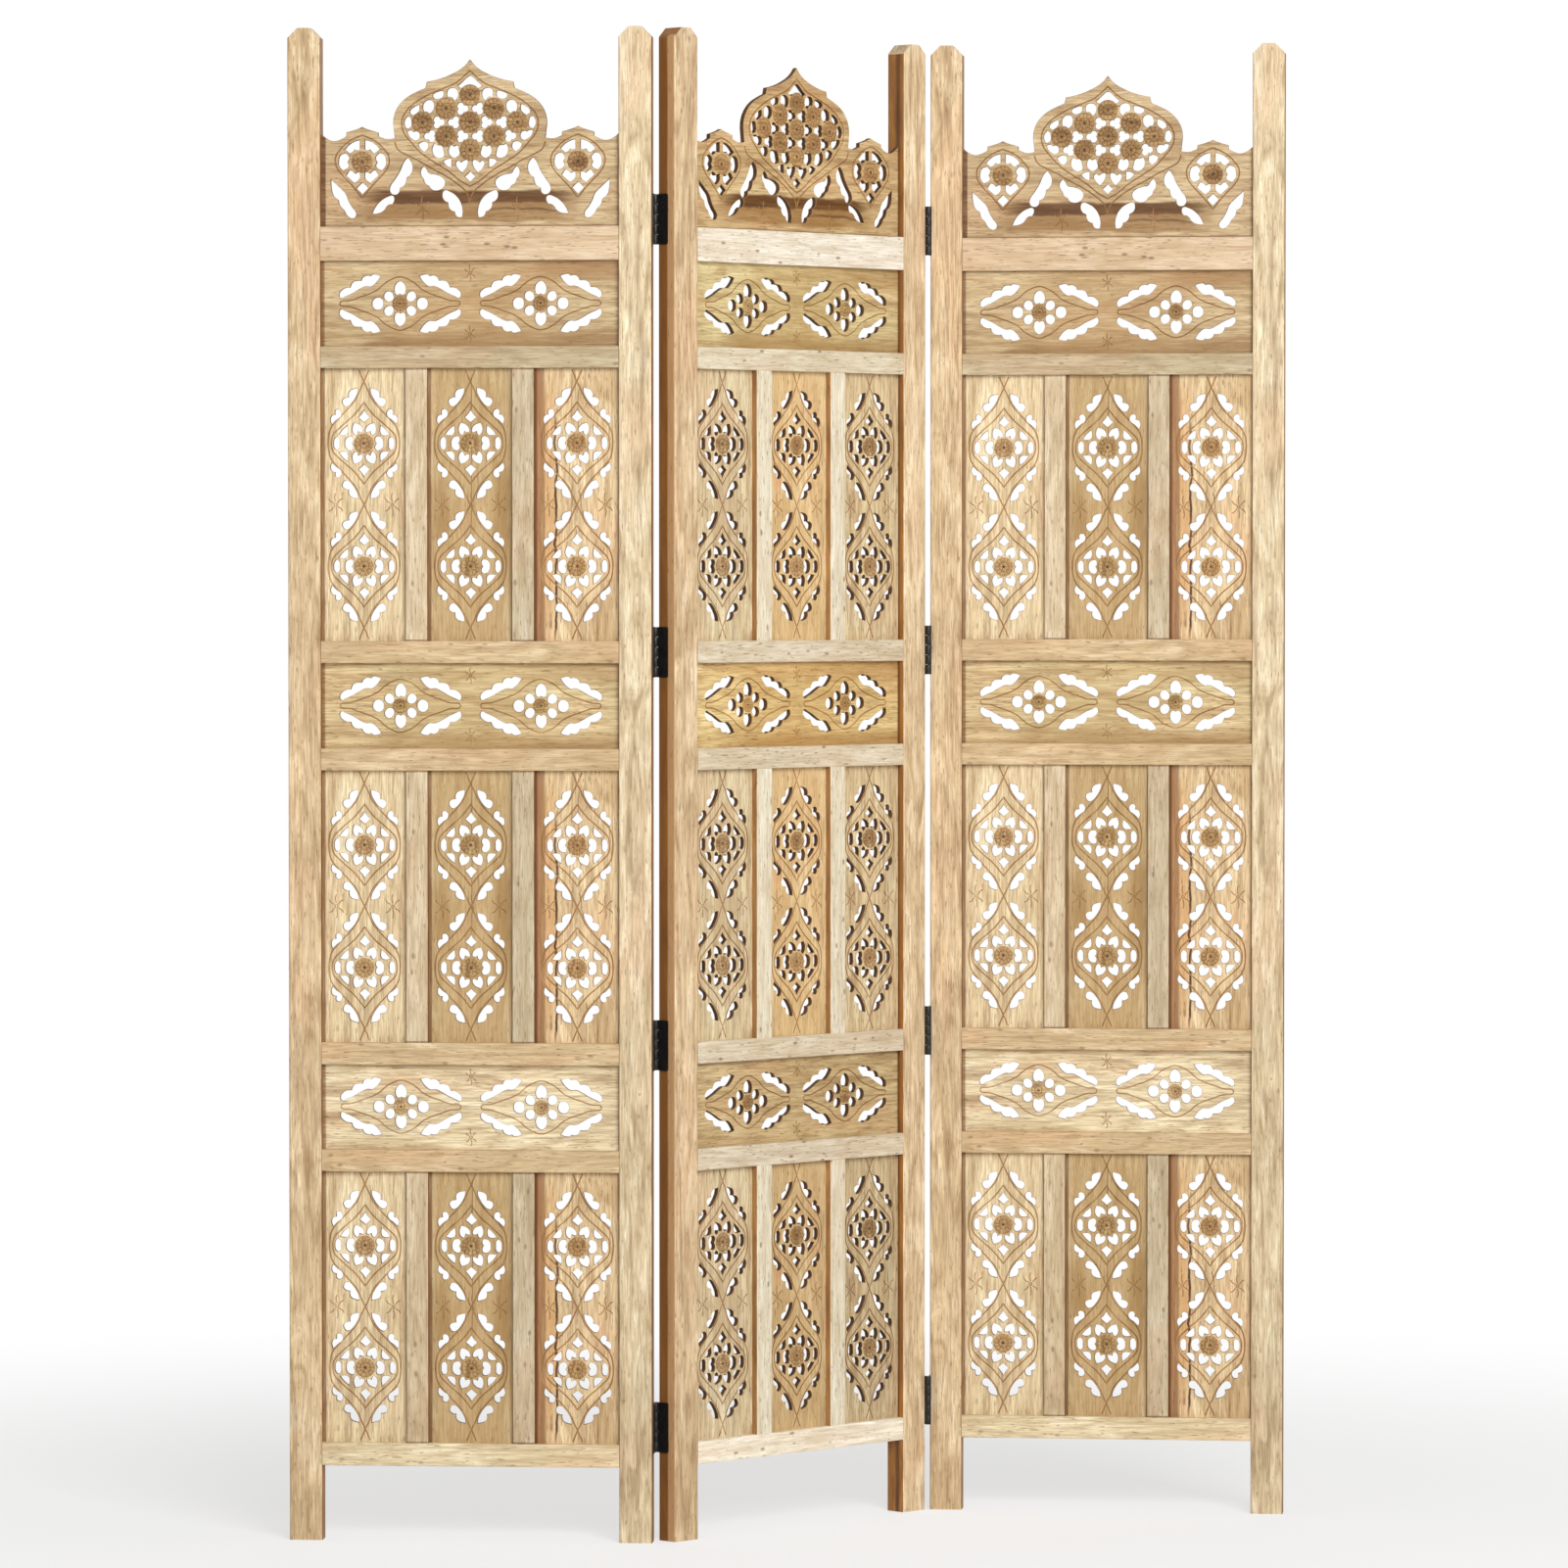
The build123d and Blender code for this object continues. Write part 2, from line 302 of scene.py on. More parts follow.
def four_ways(outline: Outline) -> list[Outline]:
    """An outline and its mirror images, left and right and above and below."""
    return [mirrored(outline, across, upright) for across in (False, True) for upright in (False, True)]


def both_sides(half: Outline) -> Outline:
    """A whole outline from its right half, both ends of which lie on the upright line in its middle."""
    return [*half, *mirrored(half[-2:0:-1], True)]


def even(half: Outline) -> Outline:
    """A whole outline from its upper half, both ends of which lie on the level line in its middle."""
    return [*half, *mirrored(half[-2:0:-1], False, True)]


def all_round(quarter: Outline) -> Outline:
    """A whole outline from its upper right quarter, which runs from its top to its right."""
    return both_sides([*quarter, *mirrored(quarter[-2::-1], False, True)])


def moved(outline: Outline, x: float, z: float, turn: float = 0.0) -> Outline:
    """An outline turned about its middle by some degrees, from right towards up, and then moved."""
    cos, sin = math.cos(math.radians(turn)), math.sin(math.radians(turn))
    return [(x + cos * a - sin * b, z + sin * a + cos * b, *rest) for a, b, *rest in outline]


def grown(outline: Outline, by: float) -> Outline:
    """An outline with each of its points moved out from its middle by some millimetres."""
    x, z = (sum(point[axis] for point in outline) / len(outline) for axis in (0, 1))
    made = []
    for a, b, *rest in outline:
        scale = 1 + by / math.hypot(a - x, b - z)
        made.append((x + (a - x) * scale, z + (b - z) * scale, *rest))
    return made


def spray(x: float, z: float, reach: float) -> list[Line]:
    """A small engraved flower, a ring with short curved leaves above and below it, and its mirror image.

    Args:
        x: how far its middle is to the right.
        z: how far up.
        reach: how far its leaves come from its middle.

    Returns:
        The lines.
    """
    ring, root, weight = 1.5, 3.0, 0.75
    circle = [(ring * math.cos(step * math.pi / 3), ring * math.sin(step * math.pi / 3)) for step in range(6)]
    shapes = [(circle, True)]
    for turn in (42, 90, 138, 222, 270, 318):
        far = reach if turn % 180 == 90 else reach * 0.8
        leaf = ((root, 0, SHARP), (0.55 * (root + far), 0.9), (far, 0, SHARP))
        shapes.append((moved(leaf, 0, 0, turn), False))
    sides = (x, -x) if x else (x,)
    return [(moved(shape, side, z), closed, weight) for shape, closed in shapes for side in sides]


def trefoil(turn: float) -> Outline:
    """An opening of three rounded lobes with a cusp between each two.

    Args:
        turn: the direction of the first lobe, in degrees.

    Returns:
        The outline about its middle.
    """
    reach, lobe, steps = 7.0, 3.7, 24
    middle = reach - lobe
    corners = []
    for step in range(steps):
        angle = step * 360 / steps
        off = math.radians((angle - 60) % 120 - 60)
        radius = middle * math.cos(off) + math.sqrt(lobe**2 - (middle * math.sin(off)) ** 2)
        sharp = (SHARP,) if step % 8 == 4 else ()
        bearing = math.radians(angle + turn)
        corners.append((radius * math.cos(bearing), radius * math.sin(bearing), *sharp))
    return corners


def add_spline(curve: bpy.types.Curve, outline: Outline, closed: bool = True, weight: float = 1.0) -> None:
    """Draw an outline in millimetres into a curve, rounded except at its sharp corners.

    Args:
        curve: the curve.
        outline: its points.
        closed: whether its ends meet.
        weight: how thick a bar along it becomes.
    """
    spline = curve.splines.new("BEZIER")
    spline.bezier_points.add(len(outline) - 1)
    spline.use_cyclic_u = closed
    for knot, (x, z, *_) in zip(spline.bezier_points, outline):
        knot.co = (x * MM, z * MM, 0)
    for knot, (_, _, *sharp) in zip(spline.bezier_points, outline):
        knot.handle_left_type = knot.handle_right_type = "VECTOR" if sharp else "AUTO"
        knot.radius = weight


def new_curve(name: str, dimensions: str, smoothness: int) -> Object:
    """Add an empty curve, to be drawn into.

    Args:
        name: the curve's name.
        dimensions: 2D or 3D.
        smoothness: how many straight runs lie between two of its points.

    Returns:
        The curve object.
    """
    clear_selection()
    bpy.ops.curve.primitive_bezier_circle_add(radius=1)
    drawn = bpy.context.object
    drawn.name = drawn.data.name = name
    drawn.data.splines.clear()
    drawn.data.dimensions = dimensions
    drawn.data.resolution_u = smoothness
    return drawn


def stand_up(drawn: Object, depth: float) -> Object:
    """Make a flat curve a mesh and stand it up in the leaf, its first side to the front.

    Args:
        drawn: the curve, drawn flat.
        depth: how far behind the leaf's front its middle lies.

    Returns:
        The mesh.
    """
    pick(drawn)
    bpy.ops.object.convert(target="MESH")
    board = bpy.context.object
    board.data.transform(Matrix.Translation((0, depth, 0)) @ Matrix.Rotation(math.pi / 2, 4, "X"))
    board.data.materials.clear()
    return board


def pierced_board(
    name: str, outline: Outline, openings: Sequence[Outline], front: float, thickness: float
) -> Object:
    """Saw a board to an outline and pierce it, with its arrises taken off.

    Args:
        name: the board's name.
        outline: its edge.
        openings: what is sawn out of it.
        front: how far behind the leaf's front its own front lies.
        thickness: its thickness.

    Returns:
        The board.
    """
    arris = 0.35 * MM
    drawn = new_curve(name, "2D", 4)
    for shape in (outline, *openings):
        add_spline(drawn.data, shape)
    drawn.data.fill_mode = "BOTH"
    drawn.data.extrude = thickness / 2 - arris
    drawn.data.bevel_depth = arris
    drawn.data.bevel_resolution = 0
    drawn.data.offset = -arris
    board = stand_up(drawn, front + thickness / 2)
    with editing(board):
        tidy_skin()
    return board


def engrave(board: Object, lines: Sequence[Line], front: float, radius: float) -> None:
    """Cut fine round-bottomed lines into the front of a board.

    Args:
        board: the board.
        lines: each line, whether its ends meet, and its weight.
        front: how far behind the leaf's front the board's front lies.
        radius: the radius of the gouge.
    """
    drawn = new_curve("gouge", "3D", 5)
    for line, closed, weight in lines:
        add_spline(drawn.data, line, closed, weight)
    drawn.data.bevel_depth = radius
    drawn.data.bevel_resolution = 1
    drawn.data.use_fill_caps = True
    gouge = stand_up(drawn, front)
    with editing(gouge):
        tidy_skin()
    cut_with(board, gouge, "DIFFERENCE")


# ---------------------------------------------------------------- finishes
def paint(red: int, green: int, blue: int) -> Colour:
    """A colour as it is given, in steps of 255, for the shaders."""
    parts = [part / 255 for part in (red, green, blue)]
    return (*[part / 12.92 if part <= 0.04045 else ((part + 0.055) / 1.055) ** 2.4 for part in parts], 1.0)


class Nodes:
    """The node tree of one material or world, with short ways to add to it."""

    def __init__(self, name: str, kind: str = "materials", shader: str = "Principled BSDF") -> None:
        """Start a material with a principled shader, or a world with its background.

        Args:
            name: its name.
            kind: materials or worlds.
            shader: the node that shades it.
        """
        self.owner = getattr(bpy.data, kind).new(name)
        self.owner.use_nodes = True
        self.tree = self.owner.node_tree
        self.shader = self.tree.nodes[shader]

    def seen(self) -> Socket:
        """1 where the camera looks, straight or by way of metal or glass, and 0 elsewhere."""
        rays = self.add("ShaderNodeLightPath").outputs
        straight = self.math("MAXIMUM", rays["Is Camera Ray"], rays["Is Glossy Ray"])
        return self.math("MAXIMUM", straight, rays["Is Transmission Ray"])

    def add(self, kind: str, **settings: object) -> bpy.types.Node:
        """Add a node and set its properties."""
        node = self.tree.nodes.new(kind)
        for name, value in settings.items():
            setattr(node, name, value)
        return node

    def feed(self, socket: Socket, value: object) -> None:
        """Link an output to a socket, or set the socket to a plain value."""
        if isinstance(value, Socket):
            self.tree.links.new(value, socket)
        else:
            socket.default_value = value

    def attribute(self, name: str, output: str = "Vector") -> Socket:
        """A vector or a colour that the mesh carries."""
        return self.add("ShaderNodeAttribute", attribute_name=name).outputs[output]

    def scaled(self, vector: Socket, scale: Sequence[float]) -> Socket:
        """A vector with each part multiplied."""
        node = self.add("ShaderNodeVectorMath", operation="MULTIPLY")
        self.feed(node.inputs[0], vector)
        self.feed(node.inputs[1], scale)
        return node.outputs["Vector"]

    def noise(self, vector: Socket, scale: Sequence[float], detail: float, distortion: float = 0.0) -> Socket:
        """Noise from 0 to 1, stretched along the grain.

        Args:
            vector: where it is read.
            scale: how many of its patches there are to a metre, each way.
            detail: how many finer layers it has.
            distortion: how far it is swirled.

        Returns:
            The noise.
        """
        node = self.add("ShaderNodeTexNoise")
        self.feed(node.inputs["Vector"], self.scaled(vector, scale))
        node.inputs["Scale"].default_value = 1.0
        node.inputs["Detail"].default_value = detail
        node.inputs["Distortion"].default_value = distortion
        return node.outputs["Fac"]

    def math(self, operation: str, first: object, second: object = 0.0) -> Socket:
        """The result of a sum on two numbers."""
        node = self.add("ShaderNodeMath", operation=operation)
        self.feed(node.inputs[0], first)
        self.feed(node.inputs[1], second)
        return node.outputs[0]

    def fade(self, value: object, low: float, high: float, to_low: float = 0, to_high: float = 1) -> Socket:
        """A number that goes smoothly from one level to another as a value rises.

        Args:
            value: the value.
            low: where the change begins.
            high: where it ends.
            to_low: the level before it.
            to_high: the level after it.

        Returns:
            The level.
        """
        node = self.add("ShaderNodeMapRange", interpolation_type="SMOOTHSTEP")
        for socket, part in zip(node.inputs, (value, low, high, to_low, to_high)):
            self.feed(socket, part)
        return node.outputs[0]

    def mix(self, amount: object, first: object, second: object, blend: str = "MIX") -> Socket:
        """Two colours mixed.

        Args:
            amount: how much of the second.
            first: the first colour.
            second: the second colour.
            blend: how they are mixed.

        Returns:
            The colour.
        """
        node = self.add("ShaderNodeMix", data_type="RGBA", blend_type=blend)
        self.feed(node.inputs[0], amount)
        self.feed(node.inputs[6], first)
        self.feed(node.inputs[7], second)
        return node.outputs[2]

    def part(self, vector: Socket, axis: int) -> Socket:
        """One part of a vector."""
        node = self.add("ShaderNodeSeparateXYZ")
        self.feed(node.inputs[0], vector)
        return node.outputs[axis]

    def bump(self, height: Socket, distance: float, strength: float = 1.0) -> None:
        """Roughen the shader's surface by a height.

        Args:
            height: the height, from 0 to 1.
            distance: how far 1 stands above 0, in metres.
            strength: how much of it shows.
        """
        node = self.add("ShaderNodeBump")
        self.feed(node.inputs["Height"], height)
        node.inputs["Distance"].default_value = distance
        node.inputs["Strength"].default_value = strength
        self.feed(self.shader.inputs["Normal"], node.outputs["Normal"])


@dataclass(frozen=True)
class StainOrShade:
    """A band, mostly darker, over the wood's colour, with a wandering edge; it serves for real stains and for
    painted shade and light.
    """

    axis: int  # the direction across the band, of the piece's own place
    middle: float
    half_width: float
    wander: float
    colour: Colour
    strength: float
    softness: float = 0.5
    span: tuple[float, float] = (-9.0, 9.0)  # how far it runs the other way
    span_fade: float = 0.02
    pace: float = 22.0  # how quickly its edge wanders


@dataclass(frozen=True)
class WoodFinish:
    """Pale mango wood with a thin dull lacquer."""

    name: str
    light: Colour
    middle: Colour
    dark: Colour
    streak: Colour = paint(128, 92, 56)
    streaks: float = 0.5  # how strong the dark streaks are
    flecks: float = 0.4  # how strong the soft grey flecks are
    blush: float = 0.35  # how strong the pink patches are
    figure: float = 1.0  # how quickly the figure changes
    roughness: float = 0.56
    stains_and_shades: tuple[StainOrShade, ...] = ()

    def make(self) -> bpy.types.Material:
        """Mix the finish.

        Returns:
            The material.
        """
        nodes = Nodes(f"{self.name}_mango")
        grain = nodes.attribute("grain")
        figure = nodes.noise(grain, (34 * self.figure, 34 * self.figure, 8 * self.figure), 6.0, 2.2)
        colour = nodes.mix(nodes.fade(figure, 0.36, 0.5), self.light, self.middle)
        colour = nodes.mix(nodes.fade(figure, 0.5, 0.7), colour, self.dark)
        noises = {}
        for name, across, along, detail, swirl, low, high, strength, tone in (
            ("patches", 16, 7, 4.0, 1.0, 0.48, 0.66, 0.4, self.dark),
            ("blush", 17, -6, 2.0, 0.4, 0.5, 0.66, self.blush, paint(222, 178, 138)),
            ("streaks", 90, 5.5, 4.0, 1.6, 0.53, 0.7, self.streaks, self.streak),
            ("fibres", 760, 42, 3.0, 0.0, 0.4, 0.64, 0.34, self.streak),
            ("bands", 210, 15, 4.0, 1.2, 0.46, 0.66, 0.34, self.streak),
        ):
            noises[name] = nodes.noise(grain, (across, across, along), detail, swirl)
            colour = nodes.mix(nodes.fade(noises[name], low, high, 0, strength), colour, tone)
        colour = nodes.mix(self.specks(nodes, grain), colour, paint(138, 112, 82))
        colour = self.stained_and_shaded(nodes, colour, nodes.fade(noises["bands"], 0.35, 0.6, 0.82, 1.0))
        pores = nodes.fade(nodes.noise(grain, (700, 700, 90), 1.0), 0.64, 0.72)
        colour = nodes.mix(nodes.math("MULTIPLY", pores, 0.55), colour, paint(112, 80, 50))
        colour = nodes.mix(1.0, colour, nodes.attribute("tint", "Color"), "MULTIPLY")
        nodes.feed(nodes.shader.inputs["Base Color"], colour)
        rough = nodes.fade(noises["fibres"], 0.3, 0.7, self.roughness - 0.06, self.roughness + 0.08)
        nodes.feed(nodes.shader.inputs["Roughness"], rough)
        nodes.shader.inputs["Specular IOR Level"].default_value = 0.34
        ridges, pits = nodes.math("MULTIPLY", noises["fibres"], 0.6), nodes.math("MULTIPLY", pores, 0.7)
        nodes.bump(nodes.math("SUBTRACT", ridges, pits), 0.22 * MM, 0.6)
        return nodes.owner

    def specks(self, nodes: Nodes, grain: Socket) -> Socket:
        """Scattered soft flecks, a few millimetres long.

        Args:
            nodes: the material's nodes.
            grain: the coordinates along the grain.

        Returns:
            How strong they are.
        """
        cells = nodes.add("ShaderNodeTexVoronoi")
        nodes.feed(cells.inputs["Vector"], nodes.scaled(grain, (85, 85, 42)))
        cells.inputs["Scale"].default_value = 1.0
        chosen = nodes.fade(nodes.part(cells.outputs["Color"], 0), 0.45, 0.55)
        near = nodes.fade(cells.outputs["Distance"], 0.08, 0.2, self.flecks, 0.0)
        return nodes.math("MULTIPLY", chosen, near)

    def stained_and_shaded(self, nodes: Nodes, colour: Socket, soak: Socket) -> Socket:
        """Lay the stains and the painted shade and light over the wood's colour.

        Args:
            nodes: the material's nodes.
            colour: the colour under them.
            soak: how well the wood takes them, along its grain.

        Returns:
            The stained and shaded colour.
        """
        place = nodes.attribute("place")
        for overlay in self.stains_and_shades:
            other = 2 if overlay.axis == 0 else 0
            scale = [overlay.pace * 0.4] * 3
            scale[other] = overlay.pace
            wander = nodes.math("SUBTRACT", nodes.noise(place, scale, 3.0, 0.5), 0.5)
            off = nodes.math("SUBTRACT", nodes.part(place, overlay.axis), overlay.middle)
            off = nodes.math("ADD", off, nodes.math("MULTIPLY", wander, 2 * overlay.wander))
            off = nodes.math("ABSOLUTE", off)
            edge = overlay.half_width * (1 - overlay.softness)
            band = nodes.fade(off, edge, overlay.half_width, overlay.strength, 0.0)
            along = nodes.part(place, other)
            for end, levels in zip(overlay.span, ((0.0, 1.0), (1.0, 0.0))):
                fade = nodes.fade(along, end - overlay.span_fade, end + overlay.span_fade, *levels)
                band = nodes.math("MULTIPLY", band, fade)
            colour = nodes.mix(nodes.math("MULTIPLY", band, soak), colour, overlay.colour)
        return colour


@dataclass(frozen=True)
class SteelFinish:
    """Steel under black paint, rubbed a little on its high spots."""

    name: str
    coat: Colour = paint(26, 24, 24)
    rubbed: Colour = paint(74, 68, 62)
    roughness: float = 0.42
    metallic: float = 0.35

    def make(self) -> bpy.types.Material:
        """Mix the finish.

        Returns:
            The material.
        """
        nodes = Nodes(f"{self.name}_steel")
        place = nodes.add("ShaderNodeTexCoord").outputs["Object"]
        specks = nodes.noise(place, (700, 700, 700), 3.0)
        colour = nodes.mix(nodes.fade(specks, 0.56, 0.72, 0, 0.7), self.coat, self.rubbed)
        nodes.feed(nodes.shader.inputs["Base Color"], colour)
        nodes.shader.inputs["Metallic"].default_value = self.metallic
        rough = nodes.fade(specks, 0.3, 0.7, self.roughness - 0.08, self.roughness + 0.12)
        nodes.feed(nodes.shader.inputs["Roughness"], rough)
        nodes.bump(specks, 0.12 * MM, 0.5)
        return nodes.owner


# Stains and painted shade and light, each list from the bottom layer up, placed in the leaf. Heights on the
# boards of the tiers and friezes are from the board's own foot.
CRACK = paint(82, 50, 22)
PAINTED_SHADE = paint(110, 71, 36)  # painted shade along edges and joints
KNOT = paint(140, 104, 58)
SECOND = 0.199  # the middle of a tier's second board
THIRD = 0.2693  # the left edge of the third
BOARD_STAINS_AND_SHADES = (
    StainOrShade(0, THIRD + 0.012, 0.0135, 0.006, paint(196, 150, 98), 0.7, 0.45, (0.03, 0.28), 0.04, 12),
    StainOrShade(0, SECOND - 0.033, 0.015, 0.006, KNOT, 0.75, 0.8, (0.112, 0.176), 0.02, 30),
    StainOrShade(0, SECOND + 0.035, 0.016, 0.007, KNOT, 0.85, 0.8, (0.1, 0.2), 0.025, 26),
    StainOrShade(0, SECOND, 0.055, 0.006, paint(172, 134, 84), 0.6, 0.4, (-0.01, 0.32), 0.02, 18),
    StainOrShade(0, SECOND + 0.001, 0.0007, 0.0026, CRACK, 0.7, 0.6, (0.13, 0.285), 0.02, 22),
    # Painted shade along each board's left edge, where the side of the post or muntin shows, and a thin line
    # of it along the right edge.
    *[
        overlay
        for left in (0.036, 0.1527, THIRD)
        for overlay in (
            StainOrShade(0, left + 0.0008, 0.0036, 0.0007, PAINTED_SHADE, 0.85, 0.5),
            StainOrShade(0, left + 0.0925, 0.0014, 0.0004, PAINTED_SHADE, 0.6, 0.6),
        )
    ],
    # Painted shade at the third board's left edge: a wider brown strip and dark lines where its side and the
    # gap beside the muntin show.
    StainOrShade(0, THIRD + 0.0038, 0.0048, 0.0008, paint(140, 94, 56), 0.85, 0.4),
    StainOrShade(0, THIRD + 0.0006, 0.0024, 0.0005, paint(92, 55, 20), 0.95, 0.6),
    StainOrShade(0, THIRD + 0.0092, 0.0036, 0.0009, paint(128, 92, 58), 0.8, 0.8, pace=14),
    StainOrShade(0, THIRD + 0.0235, 0.0017, 0.0052, paint(66, 38, 20), 1.0, 0.5, (0.012, 0.25), 0.012, 24),
    StainOrShade(0, THIRD + 0.049, 0.0009, 0.006, CRACK, 0.65, 0.6, (0.2, 0.285), 0.014, 20),
    StainOrShade(0, THIRD + 0.052, 0.0009, 0.011, CRACK, 0.65, 0.6, (0.135, 0.175), 0.006, 60),
)
# The middle leaf's boards: the second is warmer, with a red patch, and a grey one is on the first.
PALE_STAINS = (
    StainOrShade(0, SECOND, 0.047, 0.004, paint(214, 172, 116), 0.35, 0.3),
    StainOrShade(0, 0.085, 0.03, 0.01, paint(190, 160, 118), 0.55, 0.9, (0.12, 0.19), 0.03, 20),
    StainOrShade(0, 0.168, 0.009, 0.004, paint(204, 138, 94), 0.55, 0.8, (0.168, 0.2), 0.014, 30),
)
# The posts' sides, painted light and shade: the outer left one paler in front and darker behind, the inner
# right one darker behind.
PAINTED_EDGE_SHADING = (
    StainOrShade(1, 0.009, 0.0055, 0.0005, paint(66, 36, 12), 0.85, 0.95, (0.36, 0.364), 0.001),
    StainOrShade(1, 0.0195, 0.0095, 0.0008, paint(112, 70, 24), 0.7, 0.3, (-0.01, 0.003), 0.001),
    StainOrShade(1, 0.0045, 0.0075, 0.0012, paint(186, 146, 102), 0.95, 0.35, (-0.01, 0.003), 0.001),
)
# Painted shadow at the joints of the muntins with the rails over and under them.
MUNTIN_JOINT_SHADOWS = tuple(
    StainOrShade(2, joint, 0.0024, 0.0005, PAINTED_SHADE, 0.8, 0.5) for joint in (0.107, 0.404, 0.545, 0.842, 0.983, 1.28)
)
# The lying boards: painted shade at both ends, and on the dark ones a stained foot, a far corner and a broad
# darker middle.
FAR_END_SHADE = StainOrShade(0, 0.362, 0.0016, 0.0004, PAINTED_SHADE, 0.6)
FRIEZE_END_SHADES = (StainOrShade(0, 0.0362, 0.0042, 0.0008, PAINTED_SHADE, 0.8, 0.5), FAR_END_SHADE)
DARK_FRIEZE_STAINS_AND_SHADES = (
    StainOrShade(2, 0.004, 0.026, 0.008, paint(150, 112, 68), 0.75, 0.7, (0.09, 0.5), 0.04, 12),
    StainOrShade(2, 0.093, 0.024, 0.008, paint(158, 116, 72), 0.7, 0.7, (0.27, 0.5), 0.04, 14),
    StainOrShade(0, 0.2, 0.12, 0.02, paint(178, 140, 92), 0.4, 0.6),
    *FRIEZE_END_SHADES,
)
# The crest: a dark band across its foot, darkest along its upper edge; painted shade at both ends and along
# its foot.
CREST_STAINS_AND_SHADES = (
    StainOrShade(2, 1.4555, 0.019, 0.006, paint(152, 114, 66), 0.9, 0.4, (0.085, 0.31), 0.03, 17),
    StainOrShade(2, 1.4665, 0.0085, 0.0045, paint(92, 54, 6), 1.0, 0.45, (0.09, 0.305), 0.02, 24),
    StainOrShade(2, 1.4605, 0.0026, 0.0055, CRACK, 0.8, 0.7, (0.105, 0.17), 0.02, 34),
    StainOrShade(2, 1.4525, 0.002, 0.004, CRACK, 0.7, 0.7, (0.22, 0.3), 0.02, 34),
    # Painted shade at the left end, where the post's inner side shows, at the far end and along the foot over
    # the top rail.
    StainOrShade(0, 0.0372, 0.0046, 0.0005, paint(96, 58, 26), 0.95, 0.35),
    FAR_END_SHADE,
    StainOrShade(2, 1.4342, 0.0016, 0.0004, PAINTED_SHADE, 0.7),
)


class Finishes:
    """Every finish of the screen, mixed once."""

    def __init__(self) -> None:
        """Mix them."""
        board = (paint(230, 209, 171), paint(217, 193, 153), paint(192, 164, 123), WoodFinish.streak, 0.4)
        rail = (paint(226, 206, 172), paint(212, 190, 153), paint(194, 169, 131), paint(150, 118, 80), 0.28)
        rough = {"roughness": 0.7, "blush": 0.0}
        made = (
            WoodFinish(
                "post", paint(230, 207, 170), paint(214, 187, 147), paint(178, 150, 112), streaks=0.42
            ),
            WoodFinish("rail", *rail, flecks=0.65),
            WoodFinish("muntin", *rail, flecks=0.75, stains_and_shades=MUNTIN_JOINT_SHADOWS),
            # The sides of the upright members: the wood painted darker, as painted shade.
            WoodFinish(
                "edge", paint(166, 111, 48), paint(147, 93, 37), paint(110, 64, 23), streaks=0.35, blush=0.0,
                stains_and_shades=PAINTED_EDGE_SHADING,
            ),
            # The middle leaf's muntin sides: a lighter painted shade.
            WoodFinish("soft_edge", paint(194, 144, 86), paint(178, 127, 70), paint(146, 98, 50), blush=0.0),
            WoodFinish("board", *board, stains_and_shades=BOARD_STAINS_AND_SHADES),
            WoodFinish(
                "pale_board", paint(237, 219, 178), paint(227, 204, 160), paint(208, 181, 136), streaks=0.3,
                stains_and_shades=PALE_STAINS,
            ),
            WoodFinish("frieze", *board, stains_and_shades=FRIEZE_END_SHADES),
            WoodFinish("dark_frieze", *board, stains_and_shades=DARK_FRIEZE_STAINS_AND_SHADES),
            WoodFinish("crest", *board, stains_and_shades=CREST_STAINS_AND_SHADES),
            WoodFinish(
                "pale_rail", paint(248, 238, 216), paint(240, 228, 203), paint(226, 210, 180),
                paint(186, 160, 122), 0.2, 0.75, 0.15,
            ),
            WoodFinish("sawn", paint(92, 60, 34), paint(70, 44, 24), paint(46, 28, 15), **rough),
            WoodFinish("gouged", paint(190, 150, 104), paint(170, 130, 86), paint(144, 106, 66), **rough),
            WoodFinish(
                "rosette", paint(200, 166, 118), paint(174, 139, 94), paint(132, 97, 58),
                figure=2.4, blush=0.1,
            ),
            SteelFinish("black"),
            SteelFinish("pin", paint(20, 19, 19), paint(96, 92, 88), 0.34, 0.7),
        )
        self.materials = {finish.name: finish.make() for finish in made}

    def dress(self, piece: Object, *names: str) -> None:
        """Give a bare piece its finishes, in the order of its faces' material numbers."""
        for name in names:
            piece.data.materials.append(self.materials[name])


# ---------------------------------------------------------------- where things stand
@dataclass(frozen=True)
class LeafPlace:
    """Where one leaf of the screen stands."""

    name: str
    matrix: Matrix  # from the leaf's own coordinates to the row frame

    @classmethod
    def standing(cls, name: str) -> "LeafPlace":
        """Work out a leaf's place from its two posts.

        Args:
            name: left, middle or right.

        Returns:
            The place.
        """
        first, last = (sum(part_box(f"{name}_{side}_post"), Vector()) / 2 for side in ("left", "right"))
        turn = Matrix.Rotation(math.atan2((last - first).y, (last - first).x), 4, "Z")
        corners = [turn.inverted() @ v.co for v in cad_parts[f"{name}_left_post"].data.vertices]
        corner = Vector((min(c.x for c in corners), min(c.y for c in corners), 0))
        return cls(name, turn @ Matrix.Translation(corner))

    def box(self, node: str) -> tuple[Vector, Vector]:
        """The lowest and highest corner of one of the leaf's nodes, in the leaf's coordinates."""
        back = self.matrix.inverted()
        corners = [back @ v.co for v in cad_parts[f"{self.name}_{node}"].data.vertices]
        return tuple(Vector(pick_of(c[axis] for c in corners) for axis in range(3)) for pick_of in (min, max))


def tinted(outer: Sequence[Tint], middle: Sequence[Tint]) -> dict[str, Sequence[Tint]]:
    """The tints of a piece on the outer leaves and on the middle one, board by board."""
    return {"outer": outer, "middle": middle}


